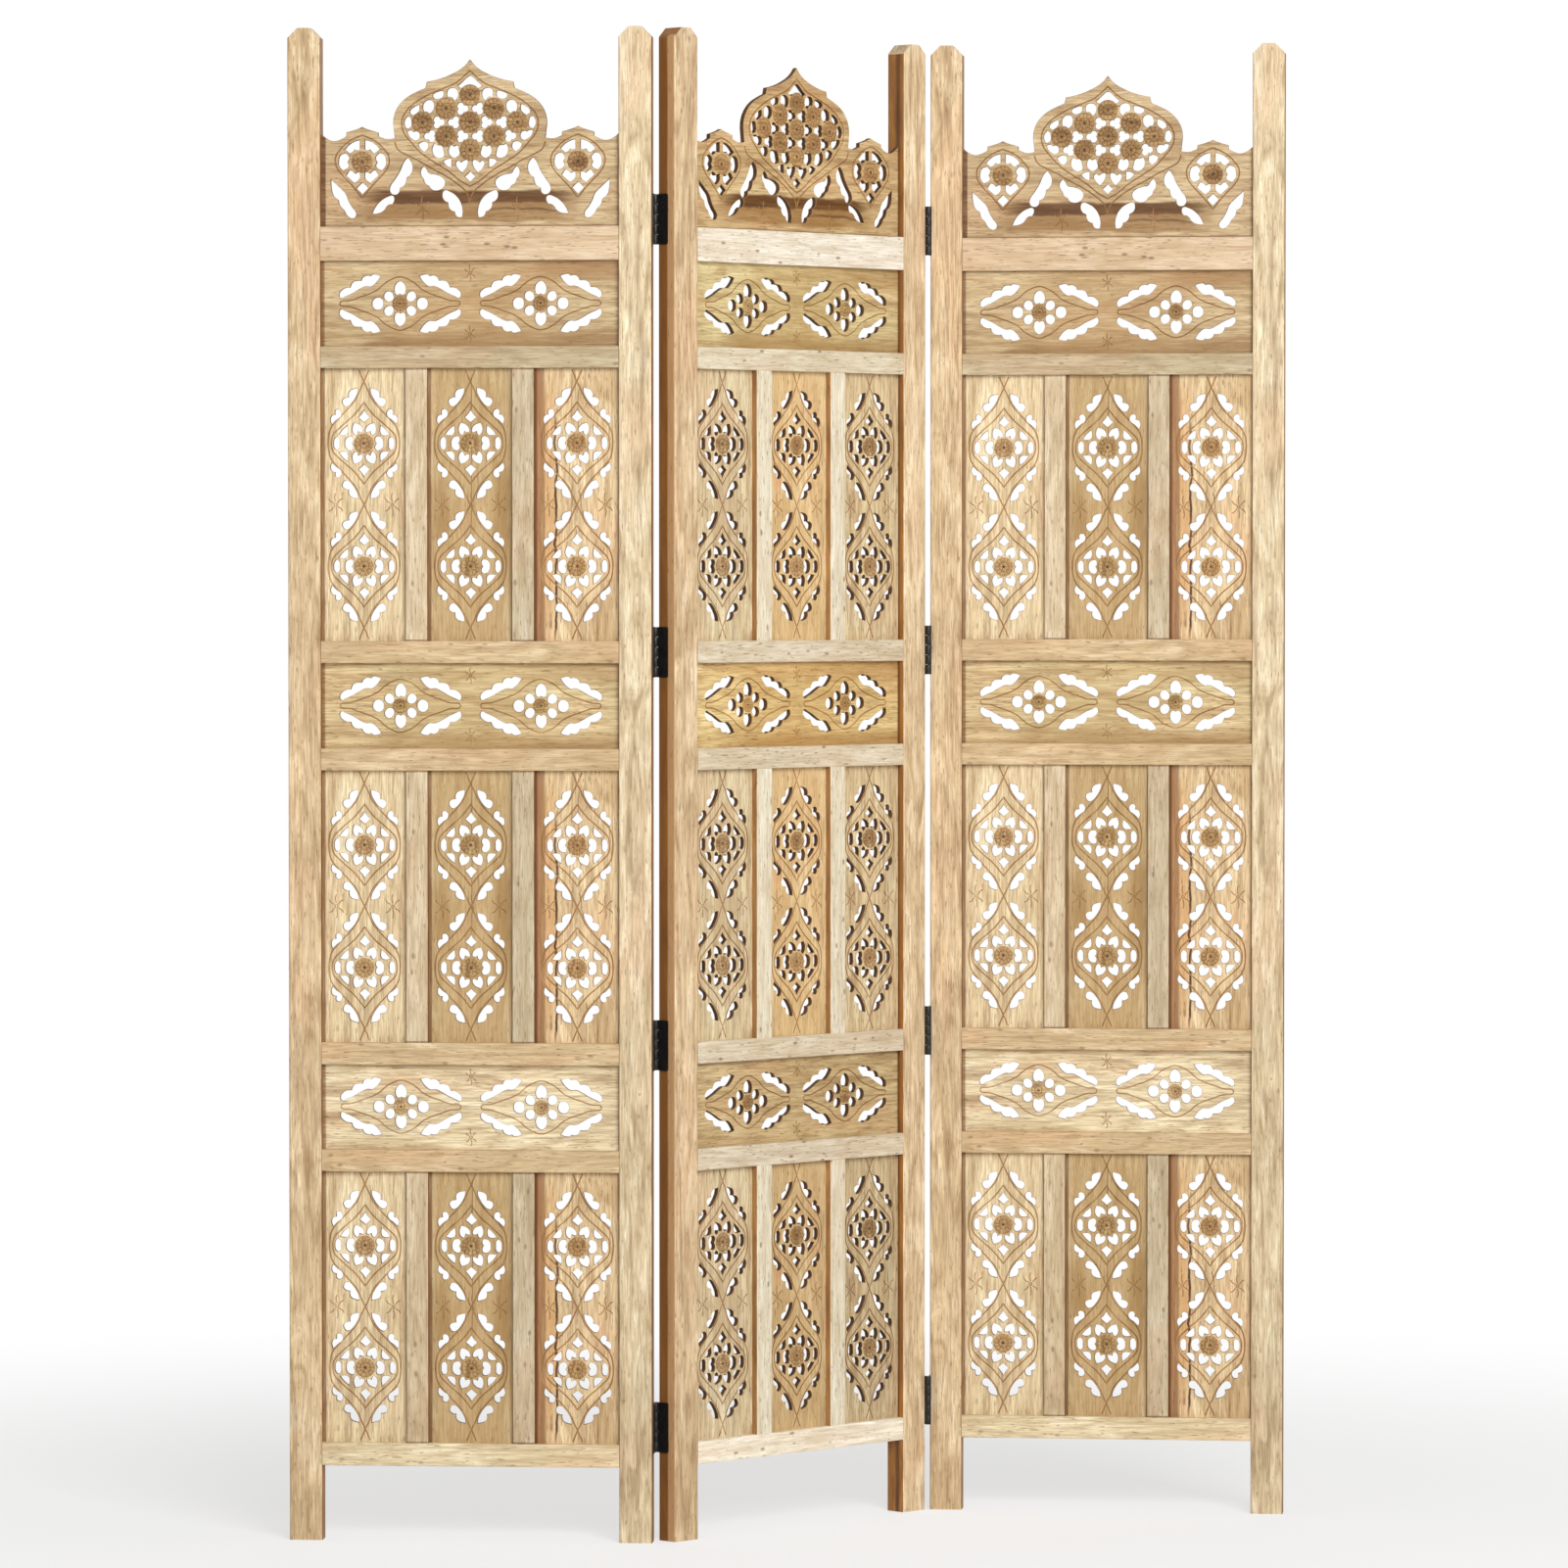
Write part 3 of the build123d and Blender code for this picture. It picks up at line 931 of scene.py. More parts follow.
@dataclass
class Pattern:
    """A piece modelled once in leaf coordinates, with what its copies need."""

    piece: Object
    node: str  # the node it replaces in each leaf, or the node that it sits on
    slot: str
    finishes: tuple[str, ...]
    grain_up: bool
    tints: dict[str, Sequence[Tint]]
    replaces: bool = True
    base: float = 0.0  # height from which its figure is measured
    columns: tuple[float, ...] = ()  # where one board ends and the next one begins
    plank: str = ""  # pieces with the same plank share their figure; without one a piece has its own
    middle_finishes: tuple[str, ...] = ()  # the middle leaf's, where they are others


@dataclass
class Dresser:
    """Copies patterns to the leaves and gives each copy its body, finish and figure."""

    places: dict[str, LeafPlace]
    finishes: Finishes

    def place(self, pattern: Pattern) -> None:
        """Copy a pattern to every leaf.

        Args:
            pattern: the pattern.
        """
        for name, place in self.places.items():
            copy = twin(pattern.piece, f"{name}_carved_{pattern.piece.name}", Matrix.Identity(4))
            self.mark(copy, pattern, "middle" if name == "middle" else "outer")
            copy.data.transform(place.matrix)
            others = pattern.middle_finishes if name == "middle" else ()
            self.finishes.dress(copy, *(others or pattern.finishes))
            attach(copy, BODIES[name])
            if pattern.replaces:
                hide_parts(f"{name}_{pattern.node}")
            log.info("%s: %d faces", copy.name, len(copy.data.polygons))
        bpy.data.objects.remove(pattern.piece)

    @staticmethod
    def mark(copy: Object, pattern: Pattern, kind: str) -> None:
        """Write into a piece's mesh where it was cut from the plank, and its tint.

        Args:
            copy: the piece, in leaf coordinates.
            pattern: what it was copied from.
            kind: outer or middle leaf.
        """
        draw = random.Random(f"{kind} {pattern.plank or pattern.piece.name}")
        shifts = [Vector([draw.uniform(0, 40) for _ in range(3)]) for _ in range(len(pattern.columns) + 1)]
        tints = pattern.tints[kind]
        grain, place, tint = [], [], []
        for vertex in copy.data.vertices:
            x, y, z = vertex.co
            column = sum(x > edge for edge in pattern.columns)
            z -= pattern.base
            way = Vector((x, y, z) if pattern.grain_up else (z, y, x))
            grain.extend(way + shifts[column])
            place.extend((x, y, z))
            tint.extend((*tints[min(column, len(tints) - 1)], 1.0))
        for name, kind_of, numbers in (
            ("grain", "FLOAT_VECTOR", grain),
            ("place", "FLOAT_VECTOR", place),
            ("tint", "FLOAT_COLOR", tint),
        ):
            layer = copy.data.attributes.new(name, kind_of, "POINT")
            layer.data.foreach_set("color" if name == "tint" else "vector", numbers)


# ---------------------------------------------------------------- posts, rails and muntins
@dataclass
class Stick:
    """A straight member, grooved for the boards and eased along its edges."""

    name: str
    low: Vector
    high: Vector
    along: int  # 0 where it lies, 2 where it stands
    grooved: tuple[int, ...]  # -1 for its lower or left side, 1 for the other
    groove: tuple[float, float] = (8.5 * MM, 14.7 * MM)
    groove_depth: float = 6.0 * MM
    stopped: tuple[float, float] | None = None  # where the groove begins and ends
    tenon: float = 5.7 * MM
    easing: float = 0.9 * MM

    def in_groove(self, at: Vector) -> bool:
        """Whether a point lies between the two walls of the groove."""
        return self.groove[0] < at.y < self.groove[1]

    def make(self) -> Object:
        """Shape the member from a sawn block.

        Returns:
            The member.
        """
        along, across = self.along, 2 - self.along
        piece = blank(self.name, self.low, self.high)
        edges = {-1: self.low[across], 1: self.high[across]}
        start, end = self.stopped or (self.low[along], self.high[along])
        with editing(piece):
            choose(piece, Kind.EDGE, lambda _, way: abs(way[along]) > ALONG)
            bpy.ops.mesh.bevel(offset=self.easing, segments=2, affect="EDGES")
            slice_at(1, *self.groove)
            slice_at(across, *[edges[side] - side * self.groove_depth for side in self.grooved])
            slice_at(along, *(self.stopped or ()))
            for side in self.grooved:

                def in_run(at: Vector, way: Vector) -> bool:
                    """Whether a face of this side lies in the run of its groove."""
                    return way[across] * side > ALONG and self.in_groove(at) and start < at[along] < end

                draw_out(piece, in_run, across, -side * self.groove_depth)
            if not self.stopped:
                self.open_ends(piece)
            tidy_skin()
        # Side faces of upright members take the second finish, their painted shade.
        for face in piece.data.polygons:
            face.material_index = int(along == 2 and abs(face.normal.x) > ALONG)
        return piece

    def open_ends(self, piece: Object) -> None:
        """Let the grooves run out at both ends and draw out a stub tenon there.

        Args:
            piece: the member in edit mode.
        """
        along, across = self.along, 2 - self.along
        low = self.low[across] + self.groove_depth * (-1 in self.grooved)
        high = self.high[across] - self.groove_depth * (1 in self.grooved)

        def at_end(at: Vector, turn: float, between: bool) -> bool:
            """Whether a face of an end lies level with the grooves, between them or in one of them."""
            return turn > ALONG and self.in_groove(at) and (low < at[across] < high) == between

        choose(piece, Kind.FACE, lambda at, way: at_end(at, abs(way[along]), False))
        bpy.ops.mesh.delete(type="FACE")
        for side in (-1, 1):
            draw_out(piece, lambda at, way: at_end(at, way[along] * side, True), along, side * self.tenon)


@dataclass
class Frame:
    """The posts, rails and muntins of a leaf."""

    leaf: LeafPlace
    clips: Outline = ((11.0, 2.9), (8.0, 6.5), (3.4, 9.5))  # cuts at the posts' tops, in and down
    post_easing: float = 1.5 * MM
    crest_ends: float = 101.0 * MM  # the height of the crest's two ends, which stand in the posts' grooves
    muntin_width: float = 24.0 * MM
    muntin_setback: float = 1.2 * MM
    boards: int = 3
    tenon: float = 5.7 * MM
    left: float = field(init=False)
    right: float = field(init=False)

    def __post_init__(self) -> None:
        """Find the inner edges of the posts."""
        self.left, self.right = self.leaf.box("left_post")[1].x, self.leaf.box("right_post")[0].x

    def posts(self) -> list[Pattern]:
        """Make the two posts, with clipped tops.

        Returns:
            Their patterns.
        """
        low, high = self.leaf.box("left_post")
        far = self.leaf.box("right_post")[1].x
        stopped = (
            self.leaf.box("bottom_rail")[0].z,
            self.leaf.box("crest_board")[0].z + self.crest_ends + self.tenon,
        )
        post = Stick("left_post", low, high, 2, (1,), stopped=stopped, easing=self.post_easing).make()
        with editing(post):
            for side, edge in ((-1, low.x), (1, high.x)):
                for inward, down in self.clips:
                    bpy.ops.mesh.select_all(action="SELECT")
                    bpy.ops.mesh.bisect(
                        plane_co=(edge - side * inward * MM, 0, high.z),
                        plane_no=(side * down, 0, inward),
                        clear_outer=True,
                        use_fill=True,
                    )
            tidy_skin()
        mirror = Matrix.Translation((far, 0, 0)) @ Matrix.Scale(-1, 4, (1, 0, 0))
        other = twin(post, "right_post", mirror)
        usual = tinted([(1.04, 1.06, 1.07)], [(1.1, 1.13, 1.18)])
        pale = tinted([(1.06, 1.17, 1.27)], [(1.17, 1.22, 1.3)])
        return [
            Pattern(piece, piece.name, "post_wood", ("post", "edge"), True, tints)
            for piece, tints in ((post, usual), (other, pale))
        ]

    def rails(self) -> list[Pattern]:
        """Make the rails, each between the posts with stub tenons in their grooves.

        Returns:
            Their patterns.
        """
        pale = ("pale_rail",)
        usual = ((0.94, 0.9, 0.83), (0.79, 0.77, 0.75))
        others = {
            "top_rail": ((0.74, 0.63, 0.54), (0.95, 0.98, 1.07)),
            "bottom_rail": ((1.16, 1.26, 1.32), (1.08, 1.13, 1.22)),
            "tier_3_rail": ((0.75, 0.78, 0.78), (0.81, 0.81, 0.79)),
        }
        names = [*[f"tier_{tier}_rail" for tier in TIERS], *[f"frieze_{tier}_rail" for tier in TIERS[:-1]]]
        made = []
        for name in ["bottom_rail", *names, "top_rail"]:
            low, high = self.leaf.box(name)
            low.x, high.x = self.left, self.right
            grooved = (1,) if name == "bottom_rail" else (-1, 1)
            piece = Stick(name, low, high, 0, grooved).make()
            finish = "pale_rail" if name == "top_rail" else "rail"
            tints = tinted(*[[tint] for tint in others.get(name, usual)])
            made.append(Pattern(piece, name, "rail_wood", (finish,), False, tints, middle_finishes=pale))
        return made

    def muntins(self) -> Pattern:
        """Make the uprights between the boards, two in each tier.

        Returns:
            Their pattern.
        """
        thickness = self.leaf.box("left_post")[1].y
        pitch = (self.right - self.left + self.muntin_width) / self.boards
        bottoms = [self.leaf.box(name)[1].z for name in ("bottom_rail", "frieze_1_rail", "frieze_2_rail")]
        top = self.leaf.box("tier_1_rail")[0].z
        low = Vector((self.left + pitch - self.muntin_width, self.muntin_setback, bottoms[0]))
        high = Vector((self.left + pitch, thickness - self.muntin_setback, top))
        first = Stick("muntin", low, high, 2, (-1, 1)).make()
        shifts = [(column * pitch, 0, bottom - bottoms[0]) for bottom in bottoms for column in (0, 1)]
        others = [twin(first, "muntin", Matrix.Translation(shift)) for shift in shifts[1:]]
        whole = joined("muntins", [first, *others])
        tints = tinted(((0.93, 0.95, 0.99), (0.85, 0.91, 0.98)), [(0.9, 0.93, 0.95)])
        return Pattern(
            whole, "muntins", "muntin_wood", ("muntin", "edge"), True, tints,
            columns=((self.left + self.right) / 2,), middle_finishes=("pale_rail", "soft_edge"),
        )


# ---------------------------------------------------------------- rosettes
@dataclass
class Rosette:
    """A small round flower carved in relief: two rings of petals round a drilled eye."""

    radius: float = 10.7 * MM
    proud: float = 1.5 * MM
    floor: float = 0.3 * MM  # no line between petals goes deeper than this over the rosette's back
    eye: float = 1.1 * MM
    dots: tuple[float, float] = (4.9 * MM, 5.6 * MM)  # the drilled ring where the outer petals begin
    rim: float = 0.9 * MM  # how far in the edge is notched between the petals
    notch: float = 0.955  # and how much of its reach is left there
    parting: float = 0.3  # how near to the line between two petals a corner is sunk
    sinking: tuple[float, float] = (0.6, 0.72)  # how deep it is, inner and outer ring, as a share of proud
    petals: int = 12
    sides: int = 48
    # each step's way in, in millimetres, and its rise, as a share of how proud the rosette stands
    steps: tuple[tuple[float, float], ...] = (
        (0.0, 0.55), (0.5, 0.4), (2.2, 0.15), (2.2, -0.35), (0.7, -0.4), (0.5, 0.5), (1.5, 0.2), (1.3, -0.3),
        (0.4, -0.5),
    )

    def __post_init__(self) -> None:
        """Carve the one that all others are copied from."""
        self.model = self.make()

    def make(self) -> Object:
        """Carve one rosette about the origin, facing the front.

        Returns:
            The rosette.
        """
        clear_selection()
        bpy.ops.mesh.primitive_circle_add(vertices=self.sides, radius=self.radius, fill_type="NGON")
        piece = settled("rosette")
        with editing(piece):
            bpy.ops.mesh.select_mode(type="FACE")
            bpy.ops.mesh.select_all(action="SELECT")
            for inset, rise in self.steps:
                if inset:
                    bpy.ops.mesh.inset(thickness=inset * MM, depth=0)
                    bpy.ops.transform.translate(value=(0, 0, self.proud * rise))
                else:
                    drag(Vector((0, 0, self.proud * rise)))
            self.part_petals(piece)
        for face in piece.data.polygons:
            reach = face.center.xy.length
            drilled = self.dots[0] < reach < self.dots[1] and self.off_petal(face.center, self.petals) < 0.5
            face.material_index = int(reach < self.eye or drilled)
        piece.data.transform(Matrix.Rotation(math.pi / 2, 4, "X"))
        with editing(piece):
            tidy_skin()
        soften(piece, 50)
        return piece

    @staticmethod
    def off_petal(point: Vector, petals: float) -> float:
        """How far round a point is from the nearest line between petals: 0 on it, 1 on a petal's middle."""
        turn = math.atan2(point.y, point.x) * petals / math.tau
        return abs(turn - round(turn)) * 2

    def part_petals(self, piece: Object) -> None:
        """Sink the lines between the petals of both rings.

        Args:
            piece: the rosette in edit mode, lying flat.
        """
        mesh = bmesh.from_edit_mesh(piece.data)
        for corner in mesh.verts:
            reach = corner.co.xy.length
            if corner.co.z <= 1e-7 or reach < self.eye + 0.1 * MM:
                continue
            outer = reach > self.dots[0]
            if self.off_petal(corner.co, self.petals if outer else self.petals / 2) < self.parting:
                corner.co.z = max(self.floor, corner.co.z - self.proud * self.sinking[outer])
                if reach > self.radius - self.rim:
                    corner.co.xy *= self.notch
        bmesh.update_edit_mesh(piece.data)

    def spread(self, name: str, middles: Outline, front: float, scale: float = 1.0) -> Object:
        """Copy the rosette to its places on a board.

        Args:
            name: the name of the whole set.
            middles: where they go, in millimetres across the leaf and up it.
            front: how far behind the leaf's front the board's front lies.
            scale: how large they are.

        Returns:
            The set.
        """
        sunk = front + 0.15 * MM
        copies = []
        for index, (x, z) in enumerate(middles):
            turn = Matrix.Rotation(math.radians(index * 37 % 30), 4, "Y")
            size = Matrix.Diagonal((scale, 1, scale, 1))
            place = Matrix.Translation((x * MM, sunk, z * MM)) @ turn @ size
            copies.append(twin(self.model, "rosette", place))
        return joined(name, copies)


# ---------------------------------------------------------------- boards
@dataclass
class Boards:
    """What the three kinds of pierced board share."""

    leaf: LeafPlace
    rosette: Rosette
    spacing: float = 0.0  # between the middles of a board's two flowers
    tongue: float = 5.7  # what stands in the grooves all round
    wall_turn: float = 0.75  # a face that looks less to the front or back than this is a sawn wall
    skin: tuple[float, float] = (0.05 * MM, 1.0 * MM)  # how deep gouged faces lie behind the front
    back_edge: float = 0.1 * MM  # faces nearer to the back than this keep the board's own finish
    gouge: float = 0.8 * MM

    def openings(self) -> list[Outline]:
        """Every opening of the board."""
        raise NotImplementedError

    def lines(self) -> list[Line]:
        """The engraved lines of the board."""
        raise NotImplementedError

    def panel(self, width: float, height: float) -> Outline:
        """The edge of a plain board about its middle, tongue and all, from the size that shows of it."""
        x, z = width / 2 + self.tongue, height / 2 + self.tongue
        return [(-x, -z, SHARP), (x, -z, SHARP), (x, z, SHARP), (-x, z, SHARP)]

    def carved(self, name: str, node: str, edge: Outline) -> tuple[Object, float]:
        """Saw, pierce and engrave a board.

        Args:
            name: its name.
            node: the node whose depth and thickness it has.
            edge: its edge.

        Returns:
            The board, and how far behind the leaf's front its own front lies.
        """
        low, high = self.leaf.box(node)
        board = pierced_board(name, edge, self.openings(), low.y, high.y - low.y)
        engrave(board, self.lines(), low.y, self.gouge)
        soften(board)
        self.mark_walls(board)
        return board, low.y

    def mark_walls(self, board: Object) -> None:
        """Number the sawn walls of a board's openings for its second finish, its gouged lines for the third.

        Args:
            board: the board.
        """
        depths = [corner.co.y for corner in board.data.vertices]
        low, high = min(depths), max(depths)
        for face in board.data.polygons:
            depth, flatness = face.center.y, abs(face.normal.y)
            if low + self.skin[0] < depth < low + self.skin[1]:
                face.material_index = 2
            elif depth < high - self.back_edge and flatness < self.wall_turn:
                face.material_index = 1
            face.use_smooth = face.use_smooth and flatness < 0.99


@dataclass
class UprightBoards(Boards):
    """Three upright boards in a tier, each with two flowers in an ogee of openings."""

    spacing: float = 134.0
    sight: float = 92.667
    pitch: float = 116.667
    height: float = 297.0
    heart_turn: float = 63.5
    line_end: tuple[float, float] = (5.2, 146.5)
    large_leaf: Outline = sketch(
        "6.6,60.2! 11.5,59.2 15.4,57.4 17.2,53.9 16.9,50.2! 20.6,49.6 23.8,47.2 23.6,43.4 20.6,40.3 "
        "17,41 12.7,45.2 9.2,50.6 7.2,55"
    )
    small_leaf: Outline = sketch(
        "25,30.4 25,34.4 28.2,37.2 31.5,36 31.6,31.2! 35,30.4 37,26.4 35.6,20.6! 31,25.2"
    )
    wedge: Outline = sketch("17.9,19.8! 17.9,11 20.4,9 27.9,9.4! 23.8,14.9")
    oval: Outline = sketch("26.7,0 27.1,4.9 30.1,7 32.9,4.3 33.5,0")
    kite: Outline = sketch("0,36.6! 2.6,32.4 6.4,28.2! 3.2,25.6 0,22.8!")
    heart: Outline = sketch("14.9,0! 12.7,1.9 12,4.1 14.2,5.6 17.6,5.7 21.4,3.9 25,0!")
    bean: Outline = sketch("13.5,0! 12.2,1.9 11.7,4.6 13.1,7.2 16.6,7.4 20,5.2 21.3,0")
    inner_ogee: Outline = sketch("0,44.5! 4.6,38.2 12,29.6 20.4,22.4 28,15.4 33.4,9.6 35.6,0")
    outer_ogee: Outline = sketch("39.2,0 38.6,8 36,17 30.5,24 23,32 14.5,41 8.4,49 4.2,58.5 0,67")

    def openings(self) -> list[Outline]:
        """The openings of both flowers, about the board's middle."""
        shapes = [*four_ways(self.large_leaf), *four_ways(self.small_leaf), *four_ways(self.wedge)]
        kite = both_sides(self.kite)
        shapes += [*two_ways(even(self.oval)), kite, mirrored(kite, False, True)]
        for turn in (self.heart_turn, 180 - self.heart_turn, -self.heart_turn, self.heart_turn - 180):
            shapes.append(moved(even(self.heart), 0, 0, turn))
        shapes += two_ways(even(self.bean))
        return [moved(shape, 0, way * self.spacing / 2) for way in (-1, 1) for shape in shapes]

    def lines(self) -> list[Line]:
        """The engraved lines of a whole board, about its middle."""
        middle = self.spacing / 2
        made = [(moved(all_round(self.inner_ogee), 0, way * middle), True, 1.0) for way in (-1, 1)]
        up = [(x, middle + z) for x, z in self.outer_ogee[::-1]]
        down = [(x, middle - z) for x, z in self.outer_ogee[1:]]
        over = [(-x, -middle + z) for x, z in self.outer_ogee[::-1][1:]]
        under = [(-x, -middle - z) for x, z in self.outer_ogee[1:]]
        x, z = self.line_end
        line = [(-x, z), *up, *down, *over, *under, (x, -z)]
        made += [(mirrored(line, across), False, 1.0) for across in (False, True)]
        return made + spray(31, 0, 13)

    def make(self) -> list[Pattern]:
        """Make the boards of the three tiers and their rosettes.

        Returns:
            Their patterns.
        """
        board, front = self.carved("board", "tier_1_boards", self.panel(self.sight, self.height))
        low, high = self.leaf.box("tier_1_boards")
        centre = (low + high) / 2
        columns = [centre.x + step * self.pitch * MM for step in (-1, 0, 1)]
        copies = [twin(board, "board", Matrix.Translation((x, 0, centre.z))) for x in columns]
        bpy.data.objects.remove(board)
        tier = joined("boards", copies)
        middles = [(x / MM, centre.z / MM + way * self.spacing / 2) for x in columns for way in (-1, 1)]
        flowers = self.rosette.spread("rosettes", middles, front)
        edges = tuple((a + b) / 2 for a, b in zip(columns, columns[1:]))
        outer = ((1.1, 1.15, 1.17), (0.93, 0.96, 0.9), (1.07, 1.06, 1.02))
        made = []
        for number, depth in zip(TIERS, (0.86, 1.0, 1.0)):
            middle = ((0.92, 0.95, 1.0), (depth, 0.98 * depth, 0.92 * depth), (0.92 * depth,) * 3)
            tints = tinted(outer, middle)
            node = f"tier_{number}_boards"
            base = self.leaf.box(node)[0].z
            for piece, finishes, others in (
                (tier, ("board", "sawn", "gouged"), ("pale_board", "sawn", "gouged")),
                (flowers, ("rosette", "sawn"), ()),
            ):
                name = piece.name
                copy = twin(piece, f"tier_{number}_{name}", Matrix.Translation((0, 0, base - low.z)))
                fit = (piece is tier, base, edges, name, others)
                made.append(Pattern(copy, node, "board_wood", finishes, True, tints, *fit))
        for piece in (tier, flowers):
            bpy.data.objects.remove(piece)
        return made


@dataclass
class Friezes(Boards):
    """The lying boards between the tiers, each with two flowers between four leaves."""

    spacing: float = 154.0
    gouge: float = 0.75 * MM
    width: float = 326.0
    height: float = 93.0
    rosette_scale: float = 0.76
    growth: float = 0.7
    leaf_opening: Outline = sketch(
        "21.3,30! 25.6,31.4 30.6,31.6 32.4,30! 36.4,30.6 41,28.4 42.6,25! 47,25 51.6,23.6 54,19.8 "
        "54.6,17.6! 59.2,17.4 64,14.8 66.8,10.4 65,6.2 60,8 52,11.6 44.6,16 38,19 31.6,19 27.4,21.8 "
        "24,25.6"
    )
    heart: Outline = sketch("11.5,0! 10.5,1.5 10.6,3.9 13.2,5.4 17.2,5.6 21.2,4 23.7,0")
    oval: Outline = sketch("18.9,0 20.1,4.2 24.2,5.9 28.3,4.3 29.9,0")
    bead: Outline = sketch("8.3,4.4 12.2,3 16.2,5.4 17,8.8 14.4,12.4 10.6,12.2 7.8,8.6")
    rhomb: Outline = sketch("0,29 9,26.4 17,21.6 24,15.4 32,11.2 42,7.6 54,3.4 66,0")

    def openings(self) -> list[Outline]:
        """The openings of both flowers and their leaves, about the board's middle."""
        shapes = [*four_ways(self.bead), *two_ways(even(self.oval))]
        shapes += [moved(even(self.heart), 0, 0, turn) for turn in (90, -90)]
        shapes = [*four_ways(self.leaf_opening), *[grown(shape, self.growth) for shape in shapes]]
        return [moved(shape, way * self.spacing / 2, 0) for way in (-1, 1) for shape in shapes]

    def lines(self) -> list[Line]:
        """The engraved lines of the whole board, about its middle."""
        closed = all_round(self.rhomb)
        made = [(moved(closed, way * self.spacing / 2, 0), True, 1.0) for way in (-1, 1)]
        return made + spray(0, 33, 9) + spray(0, -33, 9)

    def make(self) -> list[Pattern]:
        """Make the three lying boards and their rosettes.

        Returns:
            Their patterns.
        """
        board, front = self.carved("frieze", "frieze_1_board", self.panel(self.width, self.height))
        outer = ((1.12, 1.22, 1.3), (0.95, 1.0, 0.9), (0.82, 0.8, 0.73))
        middle = ((0.86, 0.84, 0.72), (1.08, 1.05, 0.8), (0.95, 1.0, 0.85))
        made = []
        for number, *colours in zip(TIERS, outer, middle):
            name = f"frieze_{number}_board"
            low, high = self.leaf.box(name)
            centre = (low + high) / 2
            copy = twin(board, name, Matrix.Translation((centre.x, 0, centre.z)))
            middles = [(centre.x / MM + way * self.spacing / 2, centre.z / MM) for way in (-1, 1)]
            flowers = self.rosette.spread(f"frieze_{number}_rosettes", middles, front, self.rosette_scale)
            tints = tinted(*[[colour] for colour in colours])
            finish = "frieze" if number == 1 else "dark_frieze"
            for piece, finishes in ((copy, (finish, "sawn", "gouged")), (flowers, ("rosette", "sawn"))):
                made.append(Pattern(piece, name, "board_wood", finishes, False, tints, piece is copy, low.z))
        bpy.data.objects.remove(board)
        return made


